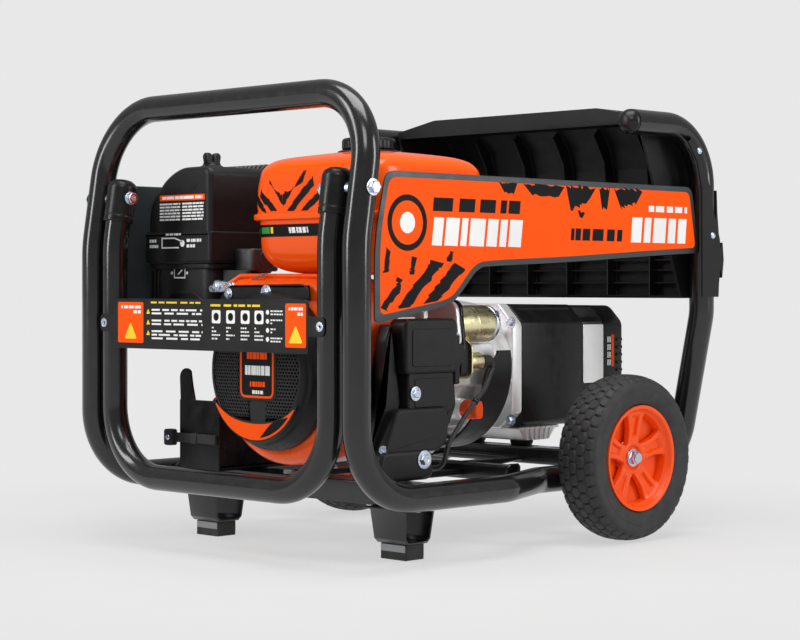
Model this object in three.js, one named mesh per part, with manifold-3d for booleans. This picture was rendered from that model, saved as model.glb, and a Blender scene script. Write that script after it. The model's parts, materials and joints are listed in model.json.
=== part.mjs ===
// Portable generator: a tube frame on two wheels and two rubber feet, a fold-up transport handle, a single-cylinder
// engine with its tank, a direct-driven alternator, a battery, and a moulded control panel at the rear end.
// Millimetres. +X runs from the recoil-starter end to the control-panel end, +Z is up, the wheels turn about Y.
// "near" is the -Y long side, "far" the +Y long side. X is measured from the front hoop while building.
import * as THREE from 'three';
import { mergeVertices } from 'three/addons/utils/BufferGeometryUtils.js';
import Module from 'manifold-3d';

const wasm = await Module();
wasm.setup();

// ---- driving dimensions -------------------------------------------------------------------------------------------
const tubeRadius = 19;             // main frame tube
const handleRadius = 18;           // transport handle tube
const tubeSides = 12;
const hoopHalfWidth = 276;         // hoop centre line to mid plane
const innerRailHalf = 226;         // rails where they pass behind the wheels
const railHeight = 92.5;
const kinkHeight = 432;            // the uprights lean back above this height
const topHeight = 629;
const topLean = 31;
const railSplice = 250;            // where the hoop tube meets the rear tube
const rearUprightX = 740;
const rearTopHeight = 616;
const rearTubeEnd = 566;
const cornerRadius = 100;
const pivotHeight = 500;
const pivotX = topLean * (pivotHeight - kinkHeight) / (topHeight - kinkHeight);
const leanAngle = Math.atan2(topLean, topHeight - kinkHeight);
const handleHalf = 228;
const handleBarHeight = 100.3;
const wheelX = 540;
const wheelRadius = 122;
const wheelMiddle = 285;           // tyre centre plane from the mid plane
const tyreHalfWidth = 34.5;
const rimRadius = 77;
const footX = 165;
const footY = 196;
const crankY = -33;
const crankZ = 255;
const gap = 0.4;                   // clearance between neighbouring parts
const frontmost = -20.5;           // label plate face
const rearmost = 792;              // socket flap face

// ---- shape helpers ------------------------------------------------------------------------------------------------
function outward(geometry) {
  // turns a closed surface right side out
  const merged = geometry.index ? geometry : mergeVertices(geometry, 1e-4);
  const p = merged.attributes.position, index = merged.index.array;
  let volume = 0;
  const a = new THREE.Vector3(), b = new THREE.Vector3(), c = new THREE.Vector3();
  for (let i = 0; i < index.length; i += 3) {
    a.fromBufferAttribute(p, index[i]);
    b.fromBufferAttribute(p, index[i + 1]);
    c.fromBufferAttribute(p, index[i + 2]);
    volume += a.dot(b.cross(c));
  }
  if (volume < 0) {
    for (let i = 0; i < index.length; i += 3) [index[i + 1], index[i + 2]] = [index[i + 2], index[i + 1]];
  }
  return merged;
}

function bare(geometry) {
  const g = geometry.clone();
  for (const name of Object.keys(g.attributes)) if (name !== 'position') g.deleteAttribute(name);
  return outward(mergeVertices(g, 1e-4));
}

function toManifold(geometry) {
  const g = bare(geometry);
  return new wasm.Manifold(new wasm.Mesh({
    numProp: 3,
    vertProperties: new Float32Array(g.attributes.position.array),
    triVerts: new Uint32Array(g.index.array),
  }));
}

function fromManifold(body) {
  const mesh = body.getMesh();
  const g = new THREE.BufferGeometry();
  g.setAttribute('position', new THREE.BufferAttribute(new Float32Array(mesh.vertProperties), 3));
  g.setIndex(new THREE.BufferAttribute(new Uint32Array(mesh.triVerts), 1));
  return g;
}

function join(...shapes) {
  return fromManifold(shapes.map(toManifold).reduce((all, next) => all.add(next)));
}

function cut(shape, ...tools) {
  return fromManifold(tools.map(toManifold).reduce((left, tool) => left.subtract(tool), toManifold(shape)));
}

function common(first, second) {
  return fromManifold(toManifold(first).intersect(toManifold(second)));
}

function mirrored(geometry) {
  // the same part on the other long side
  const g = bare(geometry);
  g.scale(1, -1, 1);
  return outward(g);
}

function box(x0, x1, y0, y1, z0, z1) {
  return new THREE.BoxGeometry(x1 - x0, y1 - y0, z1 - z0).translate((x0 + x1) / 2, (y0 + y1) / 2, (z0 + z1) / 2);
}

const planes = {
  // outline axes and thickness axis for each way a plate can lie
  xy: [[1, 0, 0], [0, 1, 0], [0, 0, 1]],
  yz: [[0, 1, 0], [0, 0, 1], [1, 0, 0]],
  xz: [[1, 0, 0], [0, 0, 1], [0, -1, 0]],
};

function slab(plane, outline, from, to, bevel = 0) {
  // a plate with the given outline, lying between two levels of the third axis
  const shape = outline instanceof THREE.Shape ? outline : new THREE.Shape(outline.map(([u, v]) => new THREE.Vector2(u, v)));
  const g = new THREE.ExtrudeGeometry(shape, {
    depth: to - from - 2 * bevel, bevelEnabled: bevel > 0, bevelThickness: bevel, bevelSize: bevel,
    bevelOffset: -bevel, bevelSegments: 1, curveSegments: 8,
  });
  g.translate(0, 0, bevel);
  const [u, v, w] = planes[plane].map((axis) => new THREE.Vector3(...axis));
  g.applyMatrix4(new THREE.Matrix4().makeBasis(u, v, w));
  return g.translate(...w.clone().multiplyScalar(plane === 'xz' ? -to : from).toArray());
}

function roundRect(u0, u1, v0, v1, r) {
  const s = new THREE.Shape();
  s.moveTo(u0 + r, v0).lineTo(u1 - r, v0).absarc(u1 - r, v0 + r, r, -Math.PI / 2, 0, false);
  s.lineTo(u1, v1 - r).absarc(u1 - r, v1 - r, r, 0, Math.PI / 2, false);
  s.lineTo(u0 + r, v1).absarc(u0 + r, v1 - r, r, Math.PI / 2, Math.PI, false);
  s.lineTo(u0, v0 + r).absarc(u0 + r, v0 + r, r, Math.PI, 1.5 * Math.PI, false);
  return s;
}

function turned(axis, profile, centre, sides = 20) {
  // profile points are [radius, distance along the axis]
  const g = new THREE.LatheGeometry(profile.map(([r, h]) => new THREE.Vector2(r, h)), sides);
  if (axis === 'x') g.rotateZ(-Math.PI / 2);
  if (axis === 'z') g.rotateX(Math.PI / 2);
  return g.translate(...centre);
}

function rod(axis, radius, from, to, centre, sides = 20) {
  return turned(axis, [[0, from], [radius, from], [radius, to], [0, to]], centre, sides);
}

function bentPath(corners, turnStep = 15) {
  // corners are [x, y, z, bend radius]; each bend becomes an arc
  const path = [new THREE.Vector3(...corners[0].slice(0, 3))];
  for (let i = 1; i < corners.length - 1; i += 1) {
    const [before, at, after] = [i - 1, i, i + 1].map((k) => new THREE.Vector3(...corners[k].slice(0, 3)));
    const back = before.sub(at).normalize(), ahead = after.sub(at).normalize();
    const half = back.angleTo(ahead) / 2, radius = corners[i][3];
    const reach = radius / Math.tan(half);
    const middle = back.clone().add(ahead).normalize().multiplyScalar(radius / Math.sin(half)).add(at);
    const start = at.clone().addScaledVector(back, reach).sub(middle);
    const end = at.clone().addScaledVector(ahead, reach).sub(middle);
    const total = start.angleTo(end), turnAxis = start.clone().cross(end).normalize();
    const steps = Math.max(2, Math.round(THREE.MathUtils.radToDeg(total) / turnStep));
    for (let k = 0; k <= steps; k += 1) {
      path.push(start.clone().applyAxisAngle(turnAxis, total * k / steps).add(middle));
    }
  }
  path.push(new THREE.Vector3(...corners.at(-1).slice(0, 3)));
  return path;
}

function sweptTube(path, radius, sides = tubeSides) {
  // rings carried along the path without twisting, closed by a flat end each
  const positions = [], index = [];
  let normal = null, lastDirection = null;
  path.forEach((point, i) => {
    const ahead = path[Math.min(i + 1, path.length - 1)].clone().sub(path[Math.max(i - 1, 0)]).normalize();
    if (!normal) {
      normal = new THREE.Vector3(0, 0, 1).cross(ahead);
      if (normal.length() < 0.1) normal = new THREE.Vector3(0, 1, 0).cross(ahead);
      normal.normalize();
    } else {
      const turn = new THREE.Quaternion().setFromUnitVectors(lastDirection, ahead);
      normal.applyQuaternion(turn).normalize();
    }
    lastDirection = ahead;
    const side = ahead.clone().cross(normal).normalize();
    for (let k = 0; k < sides; k += 1) {
      const angle = 2 * Math.PI * (k + 0.5) / sides;
      const v = point.clone().addScaledVector(normal, radius * Math.cos(angle))
        .addScaledVector(side, radius * Math.sin(angle));
      positions.push(v.x, v.y, v.z);
    }
  });
  for (let i = 0; i + 1 < path.length; i += 1) {
    for (let k = 0; k < sides; k += 1) {
      const a = i * sides + k, b = i * sides + (k + 1) % sides, c = a + sides, d = b + sides;
      index.push(a, b, d, a, d, c);
    }
  }
  for (let k = 1; k + 1 < sides; k += 1) {
    const last = (path.length - 1) * sides;
    index.push(0, k + 1, k, last, last + k, last + k + 1);
  }
  const g = new THREE.BufferGeometry();
  g.setAttribute('position', new THREE.Float32BufferAttribute(positions, 3));
  g.setIndex(index);
  return outward(g);
}

function loft(sections, cornerSteps = 3) {
  // stacks rounded rectangles [z, x0, x1, y0, y1, corner radius] into one closed skin
  const positions = [], index = [], ring = 4 * (cornerSteps + 1);
  for (const [z, x0, x1, y0, y1, r] of sections) {
    const centres = [[x1 - r, y0 + r], [x1 - r, y1 - r], [x0 + r, y1 - r], [x0 + r, y0 + r]];
    centres.forEach(([cx, cy], corner) => {
      for (let k = 0; k <= cornerSteps; k += 1) {
        const angle = (corner - 1) * Math.PI / 2 + (Math.PI / 2) * k / cornerSteps;
        positions.push(cx + r * Math.cos(angle), cy + r * Math.sin(angle), z);
      }
    });
  }
  for (let s = 0; s + 1 < sections.length; s += 1) {
    for (let k = 0; k < ring; k += 1) {
      const a = s * ring + k, b = s * ring + (k + 1) % ring;
      index.push(a, b, b + ring, a, b + ring, a + ring);
    }
  }
  for (let k = 1; k + 1 < ring; k += 1) {
    const last = (sections.length - 1) * ring;
    index.push(0, k + 1, k, last, last + k, last + k + 1);
  }
  const g = new THREE.BufferGeometry();
  g.setAttribute('position', new THREE.Float32BufferAttribute(positions, 3));
  g.setIndex(index);
  return outward(g);
}

function casing(halfWidth, halfHeight, topChamfer, bottomChamfer) {
  // end outline of the alternator, around the crank axis but hung a little low
  const top = halfWidth - topChamfer, bottom = halfWidth - bottomChamfer;
  return [[-bottom, -halfHeight], [bottom, -halfHeight], [halfWidth, bottomChamfer - halfHeight],
    [halfWidth, halfHeight - topChamfer], [top, halfHeight], [-top, halfHeight],
    [-halfWidth, halfHeight - topChamfer], [-halfWidth, bottomChamfer - halfHeight]]
    .map(([y, z]) => [crankY + y, crankZ - 3 + z]);
}

// ---- finishes -----------------------------------------------------------------------------------------------------
const finishes = {
  glossBlack: [0x101214, 0.25, 0.1], blackPlastic: [0x1b1d1f, 0.6, 0], darkPanel: [0x3a4043, 0.55, 0],
  orange: [0xff6a00, 0.3, 0], rimOrange: [0xff5a14, 0.4, 0], rubber: [0x2e2e2e, 0.9, 0], zinc: [0xb8c4d0, 0.3, 1],
  aluminium: [0xd8dad8, 0.4, 1], gold: [0xd8cf98, 0.3, 1], castIron: [0x6b6d6e, 0.6, 0.8], white: [0xd8d8d0, 0.5, 0],
};
const group = new THREE.Group();

function part(name, finish, geometry) {
  const [color, roughness, metalness] = finishes[finish];
  const mesh = new THREE.Mesh(bare(geometry), new THREE.MeshStandardMaterial({ color, roughness, metalness }));
  mesh.geometry.translate(-(frontmost + rearmost) / 2, 0, 0);
  mesh.geometry.computeVertexNormals();
  mesh.name = name;
  group.add(mesh);
}

function bothSides(names, finish, geometry) {
  // the first name is the near (-Y) part, the second its mirror image
  part(names[0], finish, geometry);
  part(names[1], finish, mirrored(geometry));
}

// ---- frame --------------------------------------------------------------------------------------------------------
const hoop = sweptTube(bentPath([
  [railSplice, -hoopHalfWidth, railHeight], [0, -hoopHalfWidth, railHeight, cornerRadius],
  [0, -hoopHalfWidth, kinkHeight, 200], [topLean, -hoopHalfWidth, topHeight, cornerRadius],
  [topLean, hoopHalfWidth, topHeight, cornerRadius], [0, hoopHalfWidth, kinkHeight, 200],
  [0, hoopHalfWidth, railHeight, cornerRadius], [railSplice, hoopHalfWidth, railHeight],
]), tubeRadius);
const pivotHole = rod('y', 5.6, -320, 320, [pivotX, 0, pivotHeight], 12);
part('front_hoop', 'glossBlack', cut(hoop, pivotHole));

const rearTube = sweptTube(bentPath([
  [railSplice + gap, -hoopHalfWidth, railHeight], [290, -hoopHalfWidth, railHeight, 60],
  [410, -innerRailHalf, railHeight, 60], [rearUprightX, -innerRailHalf, railHeight, 70],
  [rearUprightX, -hoopHalfWidth, 330, 90],
  [rearUprightX, -hoopHalfWidth, rearTopHeight, 90], [rearTubeEnd, -hoopHalfWidth, rearTopHeight],
]), tubeRadius);
bothSides(['near_rear_tube', 'far_rear_tube'], 'glossBlack', rearTube);

const tubeCap = turned('x', [[0, rearTubeEnd - 18], [9, rearTubeEnd - 16.5], [15, rearTubeEnd - 12],
  [18.5, rearTubeEnd - 6], [19, rearTubeEnd - gap], [0, rearTubeEnd - gap]], [0, -hoopHalfWidth, rearTopHeight], 16);
bothSides(['near_tube_cap', 'far_tube_cap'], 'blackPlastic', tubeCap);

// a channel open downwards between the hoop tubes, carrying the feet and the front of the engine
const frontBeamX = [139, 191], frontBeamZ = [73, 104], beamWall = 3;
part('front_cross_member', 'glossBlack', slab('xz', [
  [frontBeamX[0], frontBeamZ[0]], [frontBeamX[0], frontBeamZ[1]], [frontBeamX[1], frontBeamZ[1]],
  [frontBeamX[1], frontBeamZ[0]], [frontBeamX[1] - beamWall, frontBeamZ[0]],
  [frontBeamX[1] - beamWall, frontBeamZ[1] - beamWall], [frontBeamX[0] + beamWall, frontBeamZ[1] - beamWall],
  [frontBeamX[0] + beamWall, frontBeamZ[0]],
], -256.5, 256.5));
part('middle_cross_member', 'glossBlack', slab('xz', roundRect(368, 392, 91, 115, 4), -208, 208));
part('rear_cross_member', 'glossBlack', slab('xz', roundRect(504, 529, 105, 130, 4), -206, 206));

// ---- feet ---------------------------------------------------------------------------------------------------------
const footTop = frontBeamZ[0] - gap, footBottom = 22;
const footSide = slab('xz', [
  [footX - 42, footTop - 3], [footX - 42, footTop], [footX + 42, footTop], [footX + 42, footTop - 3],
  [footX + 29, footTop - 3], [footX + 25, footBottom + 6], [footX + 19, footBottom], [footX - 19, footBottom],
  [footX - 25, footBottom + 6], [footX - 29, footTop - 3],
], -footY - 34, -footY + 34);
const footInside = slab('xz', [[footX - 26, footTop - 3], [footX + 26, footTop - 3], [footX + 22, footBottom + 8],
  [footX + 17, footBottom + 3], [footX - 17, footBottom + 3], [footX - 22, footBottom + 8]],
-footY - 35, -footY + 35);
const footTaper = slab('yz', [[-footY - 34, footTop + 1], [-footY + 34, footTop + 1], [-footY + 34, footTop - 4],
  [-footY + 29, footBottom - 1], [-footY - 29, footBottom - 1], [-footY - 34, footTop - 4]], 100, 240);
bothSides(['near_foot_bracket', 'far_foot_bracket'], 'glossBlack', common(cut(footSide, footInside), footTaper));
bothSides(['near_foot_pad', 'far_foot_pad'], 'rubber', loft([
  [0, footX - 18, footX + 18, -footY - 25, -footY + 25, 2],
  [footBottom - gap, footX - 18, footX + 18, -footY - 25, -footY + 25, 2],
], 1));

// ---- axle and wheels ----------------------------------------------------------------------------------------------
const axleBracket = (side) => slab('xz', roundRect(wheelX - 16, wheelX + 16, 112, 140, 5), side * 226 - 14,
  side * 226 + 14);
const hubFace = 299;
const axleParts = [rod('y', 8, -hubFace - 12, hubFace + 12, [wheelX, 0, wheelRadius], 16)];
for (const side of [-1, 1]) {
  axleParts.push(axleBracket(side));
  const nut = [side * (hubFace + gap), side * (hubFace + 9)].sort((a, b) => a - b);
  axleParts.push(rod('y', 13, ...nut, [wheelX, 0, wheelRadius], 6));
  const collar = [side * 246, side * (wheelMiddle - 30)].sort((a, b) => a - b);
  axleParts.push(rod('y', 14, ...collar, [wheelX, 0, wheelRadius], 16));
}
part('axle', 'zinc', join(...axleParts));

const rimProfile = [ // [radius, distance from the tyre centre plane towards the outside]
  [8.5, 14], [20, 14], [24, 15], [60, 20], [67, 25], [72, 32], [rimRadius, 32], [rimRadius, -31], [72, -31],
  [68, -20], [64, 12], [22, 7], [20, -29], [8.5, -29], [8.5, 14]];
const wheelSides = 32;
let rim = turned('y', rimProfile.map(([r, out]) => [r, -out]), [0, 0, 0], wheelSides);
const windows = [];
for (let k = 0; k < 5; k += 1) {
  const turn = 2 * Math.PI * k / 5 + Math.PI / 2;
  const window = slab('xz', [[31, -9], [57, -21], [61, -12], [61, 12], [57, 21], [31, 9]], -40, 20);
  windows.push(window.rotateY(-turn));
}
rim = cut(rim, ...windows).translate(wheelX, -wheelMiddle, wheelRadius);
bothSides(['near_wheel_rim', 'far_wheel_rim'], 'rimOrange', rim);
const tyreProfile = [[rimRadius + gap, -30], [90, -tyreHalfWidth], [106, -tyreHalfWidth], [115, -32], [120, -22],
  [wheelRadius, -8], [wheelRadius, 8], [120, 22], [115, 32], [106, tyreHalfWidth], [90, tyreHalfWidth],
  [rimRadius + gap, 30], [rimRadius + gap, -30]];
bothSides(['near_wheel_tyre', 'far_wheel_tyre'], 'rubber',
  turned('y', tyreProfile.map(([r, h]) => [r / (r < 80 ? Math.cos(Math.PI / wheelSides) : 1), h]),
    [wheelX, -wheelMiddle, wheelRadius], wheelSides));

// ---- long side panels ---------------------------------------------------------------------------------------------
const panelOutline = [[22, 324], [150, 345], [172, 352], [190, 368], [214, 392], [228, 399], [267, 401], [394, 406],
  [606, 418], [712, 423], [716, 436], [700, 523], [43, 523], [22, 432]];
bothSides(['near_side_panel', 'far_side_panel'], 'darkPanel',
  slab('xz', panelOutline, -hoopHalfWidth - 11, -hoopHalfWidth - 8));

// ---- transport handle ---------------------------------------------------------------------------------------------
const handleEnd = 515;
const handleEndX = topLean * (handleEnd - kinkHeight) / (topHeight - kinkHeight);
const handleTube = sweptTube(bentPath([
  [handleEndX, -handleHalf, handleEnd], [0, -handleHalf, kinkHeight, 200],
  [0, -handleHalf, handleBarHeight, cornerRadius], [0, handleHalf, handleBarHeight, cornerRadius],
  [0, handleHalf, kinkHeight, 200], [handleEndX, handleHalf, handleEnd],
]), handleRadius);
part('transport_handle', 'glossBlack', cut(handleTube, pivotHole));
const sleeve = turned('z', [[0, 84.6], [19, 84.6], [19, 34.5], [21.4, 34.5], [21.4, 85], [19, 91], [13, 95.5], [0, 97]],
  [0, 0, 0], 20).rotateY(leanAngle).translate(0, -handleHalf, kinkHeight);
bothSides(['near_handle_cap', 'far_handle_cap'], 'blackPlastic', cut(sleeve, pivotHole));
const boltHeadOut = hoopHalfWidth + tubeRadius + gap;
const pivotBolt = join(
  rod('y', 5, -boltHeadOut - 7, -handleHalf + 30, [pivotX, 0, pivotHeight], 12),
  rod('y', 10, -boltHeadOut - 7, -boltHeadOut, [pivotX, 0, pivotHeight], 6),
  rod('y', 8, -hoopHalfWidth + tubeRadius + gap, -handleHalf - 21.4 - gap, [pivotX, 0, pivotHeight], 12),
  rod('y', 9, -handleHalf + 21.4 + gap, -handleHalf + 29, [pivotX, 0, pivotHeight], 6),
);
bothSides(['near_pivot_bolt', 'far_pivot_bolt'], 'zinc', pivotBolt);
part('label_plate', 'blackPlastic', join(slab('yz', roundRect(-206, 206, 284, 355, 5), frontmost, frontmost + 2),
  slab('yz', roundRect(-237, 237, 307, 333, 8), frontmost, frontmost + 2)));

// ---- engine: blower end -------------------------------------------------------------------------------------------
function blowerOutline(inset) {
  const s = new THREE.Shape(), r = 134 - inset;
  s.moveTo(crankY - r, crankZ);
  s.absarc(crankY, crankZ, r, Math.PI, 2 * Math.PI, false);
  s.lineTo(90 - inset, 330).lineTo(70 - inset, 386 - inset).lineTo(crankY - r + 20, 386 - inset);
  s.lineTo(crankY - r, 366 - inset);
  return s;
}
const blowerFront = 80, blowerRear = 190;
part('blower_housing', 'orange', cut(
  slab('yz', blowerOutline(0), blowerFront, blowerRear, 6),
  slab('yz', blowerOutline(4), blowerFront + 4, blowerRear + 1),
  rod('x', 96, blowerFront - 1, blowerFront + 10, [0, crankY, crankZ], 32),
));
part('recoil_cover', 'blackPlastic', turned('x', [
  [0, 40], [66, 40], [92, 44], [104, 53], [108, 62], [112, blowerFront - gap], [108, blowerFront - gap],
  [104, 64], [100, 56], [90, 48], [66, 44], [0, 44],
], [0, crankY, crankZ], 32));
part('recoil_grip', 'blackPlastic', join(
  slab('xz', roundRect(44, 62, 186, 276, 8), -192, -172),
  rod('x', 6, 60, blowerFront - 1, [0, -182, 231], 10),
));

// flywheel with fan blades, crankshaft and alternator rotor: everything that turns together
const blades = [];
for (let k = 0; k < 12; k += 1) {
  blades.push(box(66, 96, -2, 2, 46, 86).rotateX(2 * Math.PI * k / 12).translate(0, crankY, crankZ));
}
part('rotating_assembly', 'castIron', join(
  turned('x', [[0, 50], [34, 50], [34, 88], [88, 90], [90, 120], [60, 126], [14, 126], [14, 500], [68, 500],
    [68, 660], [12, 660], [12, 700], [0, 700]], [0, crankY, crankZ], 24), ...blades));

// ---- engine: crankcase and cylinder -------------------------------------------------------------------------------
const caseFront = blowerRear + gap, caseRear = 300;
part('crankcase', 'aluminium', cut(
  slab('yz', [[-140, 145], [-140, 268], [-108, 290], [-108, 335], [60, 335], [60, 145], [45, 132], [-125, 132]],
    caseFront, caseRear),
  rod('x', 17, caseFront - 1, caseRear + 1, [0, crankY, crankZ], 20),
));
const cylinderTilt = THREE.MathUtils.degToRad(25);
function onCylinder(geometry) {
  return geometry.rotateX(cylinderTilt).translate(0, 62, 262);
}
const fins = [];
for (let k = 0; k < 6; k += 1) fins.push(box(198, 294, 38 + 13 * k, 42 + 13 * k, -56, 56));
part('cylinder_block', 'aluminium', onCylinder(join(box(210, 284, 32, 119, -44, 44), ...fins)));
part('rocker_cover', 'blackPlastic', onCylinder(box(212, 282, 119 + gap, 146, -42, 42)));

// ---- engine: near side shroud -------------------------------------------------------------------------------------
part('side_shroud', 'blackPlastic', join(
  slab('xz', [[152, 252], [152, 322], [158, 328], [252, 328], [256, 322], [256, 252]], -216, -194),
  slab('xz', [[160, 200], [160, 254], [250, 254], [250, 200]], -214, -194),
  slab('xz', [[108, 148], [136, 206], [232, 206], [232, 160], [214, 148]], -220, -190),
  slab('xz', [[92, 118], [100, 150], [196, 150], [202, 118], [194, 108], [100, 108]], -222, -180),
));

// ---- engine: starter, solenoid, oil cap ---------------------------------------------------------------------------
const starterAt = [0, -151, 318];
part('starter_motor', 'gold', turned('x', [[0, 288], [34, 288], [34, 303], [27, 305], [27, 388], [22, 392], [9, 393],
  [9, 408], [0, 408]], starterAt, 24));
part('starter_solenoid', 'gold', turned('x', [[0, 306], [19, 306], [19, 318], [13.5, 319], [13.5, 352], [5, 354],
  [5, 366], [0, 366]], [0, -166, 264], 20));
const oilNeck = [352, 0, 194];
part('oil_cap', 'orange', join(rod('y', 14, -158, -141, oilNeck, 12), box(348, 356, -170, -157, 181, 207)));

// ---- adaptor and alternator ---------------------------------------------------------------------------------------
const flangeFront = 468, shellFront = 490, shellRear = 684;
const bell = turned('x', [[0, caseRear + gap], [90, caseRear + gap], [98, 330], [97, 440], [92, flangeFront + 4],
  [0, flangeFront + 4]], [0, crankY, crankZ], 28);
const bellInside = turned('x', [[0, 312], [80, 312], [84, shellFront], [0, shellFront]], [0, crankY, crankZ], 20);
part('adaptor_housing', 'aluminium', cut(
  join(bell, slab('yz', casing(96, 94, 30, 26), flangeFront, shellFront - gap),
    rod('y', 10, -141 + gap, -95, oilNeck, 12)),
  bellInside, rod('x', 17, 290, 320, [0, crankY, crankZ], 16),
));
const skirt = new THREE.Shape();
skirt.absarc(crankY, crankZ, 125.5, Math.PI * 0.94, Math.PI * 1.52, false);
skirt.absarc(crankY, crankZ, 122, Math.PI * 1.52, Math.PI * 0.94, true);
part('adaptor_skirt', 'blackPlastic', slab('yz', skirt, 398, 434));
part('alternator_shell', 'blackPlastic', cut(slab('yz', casing(95, 92, 26, 8), shellFront, shellRear),
  rod('x', 84, shellFront - 1, shellRear + 1, [0, crankY, crankZ], 24)));
part('alternator_end_cover', 'blackPlastic', cut(slab('yz', casing(93, 90, 26, 12), shellRear + gap, 738, 9),
  rod('x', 62, shellRear, 726, [0, crankY, crankZ], 20)));
part('alternator_foot', 'aluminium', slab('xz', [[500, 160 - gap], [590, 160 - gap], [570, 137], [514, 137]], -115, 49));

// ---- tank ---------------------------------------------------------------------------------------------------------
part('fuel_tank', 'orange', loft([
  [388, 130, 296, -190, -52, 22], [398, 102, 308, -206, -12, 26], [418, 86, 316, -220, 20, 28],
  [466, 80, 320, -226, 29, 28], [466.5, 74, 326, -232, 35, 32], [473, 74, 326, -232, 35, 32],
  [473.5, 80, 320, -226, 29, 28], [505, 82, 315, -223, 26, 28], [532, 93, 300, -212, 8, 30],
  [550, 115, 280, -192, -26, 34], [560, 142, 252, -160, -56, 30], [562, 150, 244, -150, -64, 30],
]));
const capAt = [196, -99, 0];
part('fuel_cap', 'blackPlastic', turned('z', [[0, 562 + gap], [36, 562 + gap], [38, 566], [38, 577], [34, 581.5],
  [0, 582]], capAt, 24));

// ---- air cleaner, carburettor, muffler ----------------------------------------------------------------------------
const cleanerOutline = [[109, 403], [109, 538], [118, 547], [180, 547], [214, 532], [246, 500], [254, 478],
  [254, 403]];
part('air_cleaner_cover', 'blackPlastic', slab('yz', cleanerOutline, 80, 196, 8));
part('air_cleaner_base', 'blackPlastic', join(
  loft([[380, 78, 194, 108, 256, 10], [403 - gap, 78, 194, 108, 256, 10]], 2),
  loft([[322, 90, 186, 118, 244, 10], [384, 84, 190, 114, 250, 10]], 2)));
part('air_cleaner_knob', 'blackPlastic', join(
  turned('z', [[0, 547 + gap], [19, 547 + gap], [19, 550], [13, 553], [11, 562], [0, 562]], [142, 179, 0], 20),
  slab('xz', roundRect(126, 158, 552, 571, 6), 175, 183)));
part('carburettor', 'castIron', join(box(118, 176, 62, 106, 392, 428), rod('z', 22, 391, 410, [147, 84, 0], 16)));
part('choke_lever', 'zinc', join(rod('x', 7, 68, 82, [0, 206, 346], 12), box(70, 73, 150, 206, 341, 349)));
part('fuel_strainer', 'gold', turned('z', [[0, 280], [8, 280], [8, 300], [12, 303], [12, 322 - gap], [0, 322 - gap]],
  [150, 200, 0], 12));
part('muffler', 'castIron', loft([[402, 214, 336, 146, 258, 14], [412, 208, 342, 140, 264, 20],
  [546, 208, 342, 140, 264, 20], [558, 218, 332, 150, 254, 14]], 2));

// ---- battery ------------------------------------------------------------------------------------------------------
const ear = new THREE.Shape();
ear.moveTo(158, 200).lineTo(191, 200).lineTo(193, 236).absarc(179, 238, 14, 0, Math.PI * 0.75, false);
ear.lineTo(165, 226);
part('battery_tray', 'blackPlastic', join(box(92, 236, 104, 193, 104 + gap, 109), box(92, 96, 104, 193, 105, 206),
  slab('yz', ear, 92, 96)));
part('battery', 'blackPlastic', join(box(96 + gap, 230, 112, 188, 109 + gap, 200),
  rod('z', 7, 199, 208, [112, 126, 0], 12), rod('z', 7, 199, 208, [214, 126, 0], 12)));
part('starter_cable', 'blackPlastic', sweptTube(bentPath([
  [366 + gap, -166, 264], [387, -167, 264, 8], [352, -179, 226, 30], [300, -189, 190, 40], [256, -197, 152, 20],
  [243, -198, 118, 14], [243, 126, 118, 16], [243, 126, 204, 14], [222, 126, 204],
], 30), 3.5, 8));

// ---- control end --------------------------------------------------------------------------------------------------
const fasciaEnd = 255, fasciaWall = 4;
const fasciaSide = [[612, 618], [612, 645], [690, 642], [726, 628], [752, 600], [765, 560], [771, 500], [772, 437],
  [772, 354], [716, 354]];
const fasciaHollow = [[616, 641], [689, 638], [723, 624.5], [748, 598], [761, 559], [767, 499], [768, 437],
  [768, 358], [590, 358], [590, 618], [616, 618]];
function fasciaFront(inset) {
  const end = fasciaEnd - inset;
  return [[-end, 350], [-end, 629 - inset], [-166, 646 - inset], [166, 646 - inset], [end, 629 - inset], [end, 350]];
}
let fascia = cut(
  common(slab('xz', fasciaSide, -fasciaEnd, fasciaEnd), slab('yz', fasciaFront(0), 600, 780)),
  common(slab('xz', fasciaHollow, -fasciaEnd, fasciaEnd), slab('yz', fasciaFront(fasciaWall), 580, 780)),
);
const ribOutline = [[746, 357], [769, 357], [769, 437], [768, 500], [762, 560], [749, 600], [725, 625], [712, 612],
  [738, 570], [746, 500]];
const fasciaRibs = [-170, -85, 0, 85, 170].map((y) => slab('xz', ribOutline, y - 1.5, y + 1.5));
fasciaRibs.push(box(750, 770, -252, 252, 498, 501), box(750, 770, -252, 252, 430, 433));
const flangeLip = [[712, 356], [752, 356], [760, 413], [757, 445], [742, 484], [733, 520], [717, 563], [690, 598],
  [677, 590], [700, 560], [712, 520]];
const flangeBack = [[760, 356], [767, 356], [770, 413], [769, 440], [764, 484], [762, 520], [760, 520]];
const flangeCorner = [[757.5, 400], [763, 385], [767, 413], [764, 440], [757.5, 430]];
const flangeBands = [[flangeLip, 295.6, 298.6], [flangeBack, 252, 289], [flangeCorner, 287, 298.6]];
for (const side of [-1, 1]) {
  for (const [outline, inner, outer] of flangeBands) {
    fasciaRibs.push(slab('xz', outline, Math.min(side * inner, side * outer), Math.max(side * inner, side * outer)));
  }
}
part('control_fascia', 'blackPlastic', join(fascia, ...fasciaRibs));

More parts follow.
